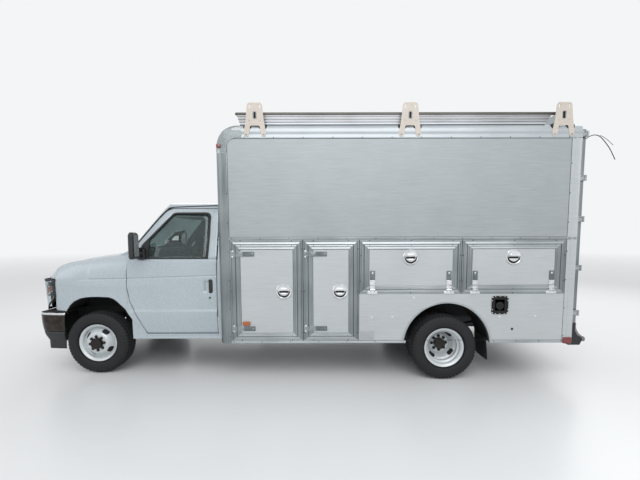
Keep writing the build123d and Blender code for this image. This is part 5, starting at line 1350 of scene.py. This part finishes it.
face = rackPlan["face"]
bright = [(face - 0.5, 2809), (face, 2811), (face, 2826), (face - 1, 2828), (face - 40, 2828), (face - 40, 2809)]
ribs = [(face - 9, 2828), (face - 9, 2836), (face - 1, 2838), (face - 1, 2852), (face - 9, 2854), (face - 9, 2866),
        (face - 1, 2868), (face - 1, 2880), (face - 9, 2882), (face - 9, 2896), (face - 2, 2898), (face - 2, 2904),
        (face - 9, 2906), (face - 9, 2914), (face - 40, 2914), (face - 40, 2828)]
skirt = [(face - 2, 2795.5), (face - 2, 2809), (face - 40, 2809), (face - 40, 2795.5)]
makePiece("rack_rails", bothSides([rackRail(ribs)]), "weatheredRail", stands=["roof_rack"],
          second=(bothSides([rackRail(bright)]), "brightRail"))
makePiece("rack_rail_feet", bothSides([rackRail(skirt)]), "linerBlack")
beadLine = carried([(-14, -11), (14, -11), (14, 6), (9, 11), (-9, 11), (-14, 6)],
                   spot([1731, 1760, bodyRear - 200, bodyRear - 190], face - 14, 2925), (0, 1, 0))
beadEnd = turned([(-16, 0.5), (-13, 9), (-6, 15), (6, 15), (13, 9), (16, 0.5)], spot(1736, face - 14, 2924), 20)
makePiece("rack_rail_beads", bothSides([beadLine, beadEnd]), "darkBead")
makePiece("rack_cross_tubes", tubes, "castAluminium", second=(bothSides(tubeEnds), "brushedUpright"))
makePiece("rack_brackets", bothSides(plates), "stonePowderCoat", second=(bothSides(plateBolts), "stainlessStrap"),
          chamfer=1.2)
# painted shadow behind the brackets and painted shade inside the tube ends
makePiece("rack_bracket_shadows", bothSides(pads + tubeEndShade), "linerBlack")
beams = [rail(s - 22, s + 22, [(-1080, 2795), (1080, 2795), (1080, 2803), (-1080, 2803)])
         for s in np.arange(1980, bodyRear - 200, 406)]
makePiece("roof_seam_strips", beams, "coatedSheet")
print("rack built")


# wheel arch edge, filler, plugs and blank plate on the flanks

archPlan = {"centre": (wheelbase + 21, 390.0), "radius": 485.0}
archStation, archHeight = archPlan["centre"]
radius = archPlan["radius"]
cutOff = math.asin(37 / radius)
angle = np.linspace(cutOff, math.pi - cutOff, 72)[:, None]
lipRows = np.array([(481, -42), (481, 4), (483.5, 6), (500, 6), (502.5, 4), (502.5, -1)])
archEdge = bar(spot(archStation + lipRows[None, :, 0] * np.cos(angle), flank + lipRows[None, :, 1],
                    archHeight + lipRows[None, :, 0] * np.sin(angle)))
square = oblong(4520, 4706, 748, 953, 34, 7)
rimRings = [(0, -1), (0, 5), (3, 8), (14, 8), (18, 5), (20, 1.5), (40, 1.0), (70, 1.0)]
rimLines = [(inset(square, k), out) for k, out in rimRings]
filler = bar(np.stack([spot(ring[:, 0], flank + out, ring[:, 1]) for ring, out in rimLines]))
fillerCap = turned([(0, 44), (3, 44), (5, 40), (5, 30), (4, 0.5)], spot(4613, flank + 1, 842), 40)
fillerGrip = blockAt(4585, 4641, flank + 4, flank + 8, 838, 846, 2)
screwStations = [4532, 4562, 4613, 4664, 4694, 4532, 4562, 4613, 4664, 4694, 4527, 4527, 4699, 4699]
screwHeights = [765, 756, 755, 756, 765, 936, 945, 946, 945, 936, 800, 900, 800, 900]
fillerScrews = domes(spot(screwStations, flank + 7, screwHeights), (0, 1, 0), 5, 2.5)
plugs = [turned([(-1, 14), (1.5, 14), (4, 9), (5, 0.5)], spot(s, flank, z), 20)
         for s, z in ((3201, 712), (3426, 716), (3663, 935), (5014, 721), (4615, 717))]
# painted shade: a black disc for an open hole in the flank
darkHole = turned([(-1, 14), (1.2, 14), (1.4, 0.5)], spot(4758, flank, 581), 24)
signPlate = onFlank(oblong(3072, 3226, 466, 562, 8, 4), -0.5, 2.4, 0.8)
# lower flank sheets: the paler sheet under the drop doors, cut round the wheel arch
sheetLow, sheetHigh = 455, 979
archRise = np.arctan2(sheetLow - archHeight, math.sqrt(radius ** 2 - (sheetLow - archHeight) ** 2))
archTurn = np.linspace(np.pi - archRise, archRise, 40)
archCut = np.c_[archStation + radius * np.cos(archTurn), archHeight + radius * np.sin(archTurn)]
sheetEnd = bodyRear - 107
sheetLine = np.concatenate([[(3060, sheetLow)], archCut,
                            [(sheetEnd, sheetLow), (sheetEnd, sheetHigh), (3060, sheetHigh)]])
lowerSheet = pierced(sheetLine, [], flank - 1, flank + 1.0, onSide)
for side in sides:
    sidePiece(side, "lower_flank_sheet", [lowerSheet], "coatedSheet")
    sidePiece(side, "rear_arch_edge", [archEdge], "brushedAlong")
    sidePiece(side, "flank_plugs", plugs, "paintedWheelSteel", slot="body_panel", second=([darkHole], "linerBlack"))
makePiece("left_fuel_filler", [filler, fillerCap, fillerGrip], "linerBlack", second=([fillerScrews], "chromedSteel"))
flapPlan = {"face": 4478.0, "thick": 8.0, "across": (862, 1196), "heights": (212, 470)}
(flapIn, flapOut), (flapLow, flapHigh) = flapPlan["across"], flapPlan["heights"]
flapLine = oblong(flapIn, flapOut, flapLow, flapHigh, (40, 40, 4, 4), 5)
mudFlap = slab(flapLine, flapPlan["face"], flapPlan["face"] + flapPlan["thick"], 2,
               lambda y, z, s: spot(s + 26 * ((flapHigh - z) / 258) ** 2, y, z), steps=2)
makePiece("rear_mud_flaps", bothSides([mudFlap]), "sealRubber")
makePiece("left_blank_plate", [signPlate], "blankPlate")
print("flank details fitted")


# rear doors, bumper and lamps

def rearBlock(y0, y1, z0, z1, s0, s1, edge=3):
    return slab(oblong(y0, y1, z0, z1, edge, 3), s0, s1, min(edge, (s1 - s0) / 2.1), onRear, steps=2)


rearPlan = {"face": bodyRear + 50, "edges": (4, 1188, 655, 2740), "hinges": (760, 1260, 1790, 2230, 2690),
            "pin": (bodyRear + 60, 1215.0)}
face = rearPlan["face"]
level, upright = mitredFrame(rearPlan["edges"], (60, 1132, 711, 2684),
                             [(0, face + 1), (0.08, face + 3), (0.9, face + 3), (1, face + 0.5)], face - 1,
                             lambda a, d, b: spot(d, a, b))
rodParts = [rod(655, 2735, 9, spot(face + 16, 92, 0), 16, (0, 0, 1))]
rodParts += [rearBlock(70, 114, z, z + 46, face - 0.5, face + 24, 4) for z in (700, 1180, 1900, 2640)]
lever = [rearBlock(84, 100, 1240, 1470, face + 12, face + 26, 5),
         rearBlock(78, 230, 1330, 1356, face + 14, face + 24, 5),
         rearBlock(190, 236, 1312, 1374, face - 0.5, face + 22, 5)]
doorSeal = [slab(oblong(1183, 1197, 652, 2743, 3, 2), bodyRear + 2, face + 3, 3, onRear, steps=2),
            slab(oblong(0.5, 8, 652, 2743, 2, 2), bodyRear + 10, face + 2, 2, onRear, steps=2)]
strapParts, knuckleParts = [], []
for z in rearPlan["hinges"]:
    strapParts.append(slab(oblong(1014, 1212, z - 13, z + 13, 7, 3), face - 0.5, face + 7.5, 1.5, onRear, steps=2))
    strapParts.append(barrelAt(spot(*rearPlan["pin"], z), (0, 0, 1)))
    knuckleParts += [rod(a, b, 10.5, spot(*rearPlan["pin"], z), 20, (0, 0, 1)) for a, b in ((-31, -12.8), (12.8, 31))]
    knuckleParts += [blockAt(bodyRear - 0.5, rearPlan["pin"][0], 1205.5, 1219.6, z + k - 9.2, z + k + 9.2, 2)
                     for k in (-21.5, 21.5)]
for side in sides:
    sidePiece(side, "rear_door_frame", level, "brushedAlong", "rear_door",
              second=(upright + doorSeal[:1], "brushedUpright"))
    sidePiece(side, "rear_door_lock_rod", rodParts, "stainlessStrap", "rear_door", second=(lever, "chromedSteel"))
    sidePiece(side, "rear_door_seals", doorSeal[1:], "sealRubber", "rear_door")
    sidePiece(side, "rear_door_straps", strapParts, "stainlessStrap", "rear_door")
    sidePiece(side, "rear_hinge_ears", knuckleParts, "stainlessStrap")
near, back = bodyRear - 2, bodyRear + 66
step = [(near, 641), (near, 646), (back, 646), (back + 6, 640), (back + 8, 590), (back + 18, 556), (back + 40, 520),
        (back + 70, 494), (back + 100, 480), (back + 114, 468), (back + 118, 452), (back + 112, 432), (back + 98, 424),
        (back + 86, 430), (back + 88, 455), (back + 70, 476), (back + 25, 498), (back - 2, 553), (back - 2, 638)]
stepCover = bar(spot(np.array(step)[None, :, 0], np.array([-1178, 1178])[:, None], np.array(step)[None, :, 1]))
makePiece("rear_step_cover", [stepCover], "stepGrey")
lensRear = bothSides([rearBlock(880, 1060, 568, 628, back, back + 12, 24),
                      rearBlock(1085, 1150, 568, 628, back, back + 12, 20)])
clearance = [rearBlock(y - 41, y + 41, 2754, 2781, bodyRear - 1, bodyRear + 25, 8) for y in (-150, 0, 150)]
makePiece("rear_lamps", lensRear + clearance, "redLens")
sillPlate = [rearBlock(-1175, 1175, 648, 654, bodyRear - 2, bodyRear + 20, 2)]
makePiece("rear_sill_strip", sillPlate, "stainlessStrap", slot="frame_aluminium")
print("rear dressed")


# inside: padded seats, seat bases, dashboard details and floor mats

seatPlan = {"sides": {"left": (370, 820), "right": (-820, -370)}, "voxel": 0.006, "pressure": 4.0, "cap": 0.022,
            "frames": 20,
            "piping": (78, 5.0, 5), "seams": {"seat_cushion": (1035, 1160), "seat_back": (1200, 1370)},
            "seam": (4.0, 6), "axle": 2412.0,
            "pads": {"seat_cushion": ([(918, 962), (918, 1068), (1280, 1052), (1322, 1000), (1352, 962)],
                                      (38, 40, 30, 26, 30), 22),
                     "seat_back": ([(1306, 1085), (1382, 1545), (1428, 1545), (1428, 1030), (1344, 1030)],
                                   (30, 22, 18, 20, 24), 20),
                     "head_rest": ([(1386, 1572), (1400, 1688), (1432, 1688), (1432, 1572)], (14, 14, 12, 12), 96)}}


def padShape(outline, rounds, low, high, puff=0.0):
    # a pillow block across the seat: the side outline, drawn in at both ends
    line = roundedLine(outline, rounds, 5)
    near = np.linspace(0, np.pi / 2, 5)
    ends = 34 * (1 - np.sin(near)), 34 * (1 - np.cos(near))
    count = 23
    across = np.concatenate([low + ends[1], np.linspace(low + 36, high - 36, count), high - ends[1][::-1]])
    draw = np.concatenate([ends[0], np.zeros(count), ends[0][::-1]])
    rings = np.stack([inset(line, k - puff) for k in draw])
    return bar(spot(rings[..., 0], across[:, None] + 0 * rings[..., 0], rings[..., 1]))


def swell(piece, plan):
    # the cushion is blown up as cloth, no point further than the cap, and the result kept as the mesh
    mesh = piece.data
    remesh = piece.modifiers.new("even", "REMESH")
    remesh.mode, remesh.voxel_size = "VOXEL", plan["voxel"]
    cloth = piece.modifiers.new("cloth", "CLOTH")
    cloth.settings.use_pressure, cloth.settings.uniform_pressure_force = True, plan["pressure"]
    cloth.settings.effector_weights.gravity = 0.0
    scene = bpy.context.scene
    cloth.point_cache.frame_start, cloth.point_cache.frame_end = 1, plan["frames"]
    cloth.show_viewport = False
    start = bpy.data.meshes.new_from_object(piece.evaluated_get(bpy.context.evaluated_depsgraph_get()))
    cloth.show_viewport = True
    for frame in range(1, plan["frames"] + 1):
        scene.frame_set(frame)
    result = bpy.data.meshes.new_from_object(piece.evaluated_get(bpy.context.evaluated_depsgraph_get()))
    scene.frame_set(1)
    before, after = (np.empty(len(m.vertices) * 3) for m in (start, result))
    start.vertices.foreach_get("co", before)
    result.vertices.foreach_get("co", after)
    move = (after - before).reshape(-1, 3)
    far = np.linalg.norm(move, axis=1)[:, None]
    capped = before.reshape(-1, 3) + move * np.minimum(1, plan["cap"] / np.maximum(far, 1e-9))
    return capped, result


def sewn(points, name, low, high):
    # sewn channels: the pad sinks by a few millimetres along a piping line near each side and along cross seams
    station, across, height = seatPlan["axle"] - points[:, 0] / mm, points[:, 1] / mm, points[:, 2] / mm
    margin, depth, width = seatPlan["piping"]
    edge = np.minimum(np.abs(across - (low + margin)), np.abs(across - (high - margin)))
    sink = depth * np.exp(-(edge / width) ** 2)
    depth, width = seatPlan["seam"]
    for place in seatPlan["seams"].get(name, ()):
        sink += depth * np.exp(-(((height if name == "seat_back" else station) - place) / width) ** 2)
    return sink


padNames = []
for side in sides:
    low, high = seatPlan["sides"][side]
    for name, (outline, rounds, margin) in seatPlan["pads"].items():
        inner, outer = low + margin, high - margin
        pad = padShape(outline, rounds, inner, outer, -9.0)
        stands = ["seats"] if (side, name) == ("left", "seat_cushion") else []
        piece = makePiece(f"{side}_{name}", [pad], "wovenSeatCloth", stands=stands, sharp=60)
        if side == "right":
            # the right pad is the left one's blown mesh, mirrored
            twin = bpy.data.objects[f"left_{name}"].data.copy()
            twin.transform(((1, 0, 0, 0), (0, -1, 0, 0), (0, 0, 1, 0), (0, 0, 0, 1)))
            twin.flip_normals()
            piece.modifiers.clear()
            piece.data = twin
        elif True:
            capped, result = swell(piece, seatPlan)
            normals = np.empty(len(result.vertices) * 3)
            result.vertices.foreach_get("normal", normals)
            capped = capped - normals.reshape(-1, 3) * (sewn(capped, name, inner, outer) * mm)[:, None]
            result.vertices.foreach_set("co", capped.ravel())
            result.polygons.foreach_set("use_smooth", np.ones(len(result.polygons), bool))
            result.materials.clear()
            result.materials.append(paint["wovenSeatCloth"])
            piece.modifiers.clear()
            piece.data = result
        padNames.append(piece.name)
print("seats padded:", len(padNames))

# seat bases, back shells and head rest rods stand where the padded pieces leave off
for side in sides:
    low, high = seatPlan["sides"][side]
    bases = [blockAt(966, 1374, low + 30, high - 30, 745, 900, 12),
             blockAt(940, 1376, low + 14, high - 14, 900, 946, 10)]
    shell = roundedLine([(1346, 940), (1424, 1540), (1438, 1540), (1438, 940)], 6, 3)
    bases.append(slab(shell, low + 20, high - 20, 6, onSide))
    centre = (low + high) / 2
    rods = [turned([(1535, 6), (1592, 6)], spot(1410, centre + k, 0), 12, (0, 0, 1)) for k in (-55, 55)]
    makePiece(f"{side}_seat_base", bases, "trimGreyPlastic", second=(rods, "stainlessStrap"))

# dashboard details: instrument hood and dials, vents, centre stack and glove box on the moulding's rear face
def onDash(a, b, c):
    # across the van, down the sloping rear face from its top edge, and out of it towards the seats
    return spot(718 - 0.078 * b + c, a, 1262 - 0.997 * b)


def dashPad(y0, y1, b0, b1, low, high, edge=5.0, radius=14):
    return slab(oblong(y0, y1, b0, b1, radius, 4), low, high, edge, onDash)


hoodLine = [(596, 1316), (612, 1358), (690, 1364), (728, 1352), (734, 1340), (700, 1338), (676, 1316)]
visor = slab(roundedLine(hoodLine, (10, 24, 20, 5, 5, 12, 8), 4), 246, 614, 20, onSide)
ventCentres = [(-770, 52), (-190, 40), (190, 40), (760, 52)]
ventFrames = [dashPad(y - 62, y + 62, b - 34, b + 34, -2, 9, 4) for y, b in ventCentres]
louvres = [dashPad(y - 54, y + 54, b + k - 3, b + k + 3, 8, 12, 1, 2)
           for y, b in ventCentres for k in (-22, -11, 0, 11, 22)]
stack = [dashPad(-118, 118, 84, 208, -2, 7, 5)]
radio = [dashPad(-92, 92, 96, 140, 6, 10, 2, 5), dashPad(258, 602, -2, 108, -2, 8, 6, 30)]
knobs = [turned([(0, 20), (12, 19), (16, 17), (17, 0.5)], onDash(y, 174, 6), 24, (-1, 0, 0)) for y in (-70, 0, 70)]
dials = [turned([(0, 44), (3, 44), (3, 40), (0.5, 38)], onDash(y, 52, 7.5), 48, (-1, 0, 0)) for y in (352, 508)]
needles = [dashPad(y - 1.5, y + 1.5, 22, 56, 8, 9.5, 0.5, 1) for y in (352, 508)]
glove = [dashPad(-790, -300, 104, 206, -2, 5, 4, 16), dashPad(-570, -510, 112, 126, 4, 11, 3, 5)]
makePiece("dash_mouldings", [visor] + ventFrames + stack + glove, "trimGreyPlastic",
          second=(louvres + radio + knobs, "grainedBlackPlastic"))
makePiece("dash_dials", dials + needles, "stainlessStrap")

# ribbed floor mats on both sides of the engine cover
matSides = ((370, 800), (-816, -386))
mats = [blockAt(720, 1330, low + 16, high, 744, 752, 4) for low, high in matSides]
ribs = [blockAt(s, s + 10, low + 40, high - 24, 751, 755, 2) for low, high in matSides
        for s in np.arange(740, 900, 26.0)]
makePiece("cab_floor_mats", mats + ribs, "linerBlack")
print("inside fitted")


# CAD parts that keep their own shape

cadFinish = {
    "blackFrameSteel": ("chassis_frame", "front_axle", "springs", "driveshaft"),
    "darkHubIron": ("rear_axle", "knuckle"),
    "grainedBlackPlastic": ("fuel_tank", "grille_panel", "front_valance", "rear_bumper", "steering_wheel", "mirror"),
    "bakedSilverPaint": ("cab_shell", "fenders", "hood", "cab_door"),
    "coatedSheet": ("box_front_wall", "box_roof", "rear_frame", "rear_door", "front_locker_door", "rear_locker_door",
                    "front_drop_door", "rear_drop_door"),
    "linerBlack": ("cab_floor", "wheelhouses"), "mouldedRubber": ("front_tyre", "rear_tyres"),
    "paintedWheelSteel": ("front_rim", "rear_rims"), "flankSheet": ("box_side",), "insideSheet": ("lockers",),
    "stonePowderCoat": ("roof_rack",), "facedPly": ("box_floor",), "castIron": ("engine",),
    "darkSteelPlate": ("exhaust",), "chromedSteel": ("front_bumper",), "trimGreyPlastic": ("dashboard",),
    "wovenSeatCloth": ("seats",), "clearGlass": ("windshield",), "tintedGlass": ("door_glass",),
    "darkRedLens": ("lamps",),
}
finished = 0
for material, names in cadFinish.items():
    for name in [word for stem in names for word in (stem, "left_" + stem, "right_" + stem) if word in nodes]:
        data = nodes[name].data
        data.materials.clear()
        data.materials.append(paint[material])
        finished += 1
print("CAD parts finished:", finished)


# pale floor and plain soft studio light

studio = {"floor": "#DFE1E3", "horizon": "#F4F5F6", "room": 0.66, "reach": 45.0,
          "lamps": [((-0.6, 8.0, 7.0), (0.0, 0.0, 1.0), 8.0, 520), ((8.0, 3.0, 4.5), (1.5, 0, 1.0), 5.0, 60),
                    ((-7.5, -4.0, 6.5), (0, 0, 1.2), 6.0, 220),
                    ((2.5, -8.0, 6.0), (0, 0, 1.2), 6.0, 200)]}
reach = studio["reach"]
floorMesh = bpy.data.meshes.new("studioFloor")
floorCorners = [(x * reach, y * reach, 0) for x, y in ((-1, -1), (1, -1), (1, 1), (-1, 1))]
floorMesh.from_pydata(floorCorners, [], [(0, 1, 2, 3)])
studioFloor = bpy.data.objects.new("studioFloor", floorMesh)
bpy.context.scene.collection.objects.link(studioFloor)
floorPaint = bpy.data.materials.new("polishedPaleFloor")  # sealed white floor: pale and even, with a soft gloss
tree = freshTree(floorPaint)
place = addNode(tree, "ShaderNodeTexCoord")
cloud = addNode(tree, "ShaderNodeTexNoise", {"Vector": place.outputs["Object"], "Scale": 0.35, "Detail": 3.0})
tone = addNode(tree, "ShaderNodeMapRange", {"Value": cloud.outputs["Fac"], "To Min": 0.28, "To Max": 0.36})
sealed = addNode(tree, "ShaderNodeBsdfPrincipled", {"Base Color": linear(studio["floor"]),
        "Roughness": tone.outputs[0]})
distance = addNode(tree, "ShaderNodeVectorMath", {0: place.outputs["Object"]}, operation="LENGTH")
fade = addNode(tree, "ShaderNodeMapRange", {"Value": distance.outputs["Value"], "From Min": 9.0, "From Max": 38.0})
haze = addNode(tree, "ShaderNodeEmission", {"Color": linear(studio["horizon"])})
both = addNode(tree, "ShaderNodeMixShader", {0: fade.outputs[0], 1: sealed.outputs[0], 2: haze.outputs[0]})
addNode(tree, "ShaderNodeOutputMaterial", {"Surface": both.outputs[0]})
floorMesh.materials.append(floorPaint)

world = bpy.data.worlds.new("studioRoom")
bpy.context.scene.world = world
tree = freshTree(world)
seen = addNode(tree, "ShaderNodeLightPath")
straight = addNode(tree, "ShaderNodeMath", {0: seen.outputs["Is Camera Ray"], 1: seen.outputs["Is Glossy Ray"]},
                   operation="MAXIMUM")
through = addNode(tree, "ShaderNodeMath", {0: straight.outputs[0], 1: seen.outputs["Is Transmission Ray"]},
                  operation="MAXIMUM")
room = addNode(tree, "ShaderNodeBackground", {"Color": (1, 1, 1, 1), "Strength": studio["room"]})
backdrop = addNode(tree, "ShaderNodeBackground", {"Color": linear(studio["horizon"]), "Strength": 1.0})
mixed = addNode(tree, "ShaderNodeMixShader", {0: through.outputs[0], 1: room.outputs[0], 2: backdrop.outputs[0]})
addNode(tree, "ShaderNodeOutputWorld", {"Surface": mixed.outputs[0]})
for number, (place, aim, size, power) in enumerate(studio["lamps"]):
    lampData = bpy.data.lights.new(f"softBox{number}", "AREA")
    lampData.shape, lampData.size, lampData.energy = "SQUARE", size, power
    lamp = bpy.data.objects.new(f"softBox{number}", lampData)
    bpy.context.scene.collection.objects.link(lamp)
    away = np.array(place) - np.array(aim)
    lamp.location = place
    lamp.rotation_euler = (math.atan2(math.hypot(away[0], away[1]), away[2]), 0, math.atan2(away[0], -away[1]))
bpy.context.scene.view_settings.view_transform = "Standard"
print("studio set")
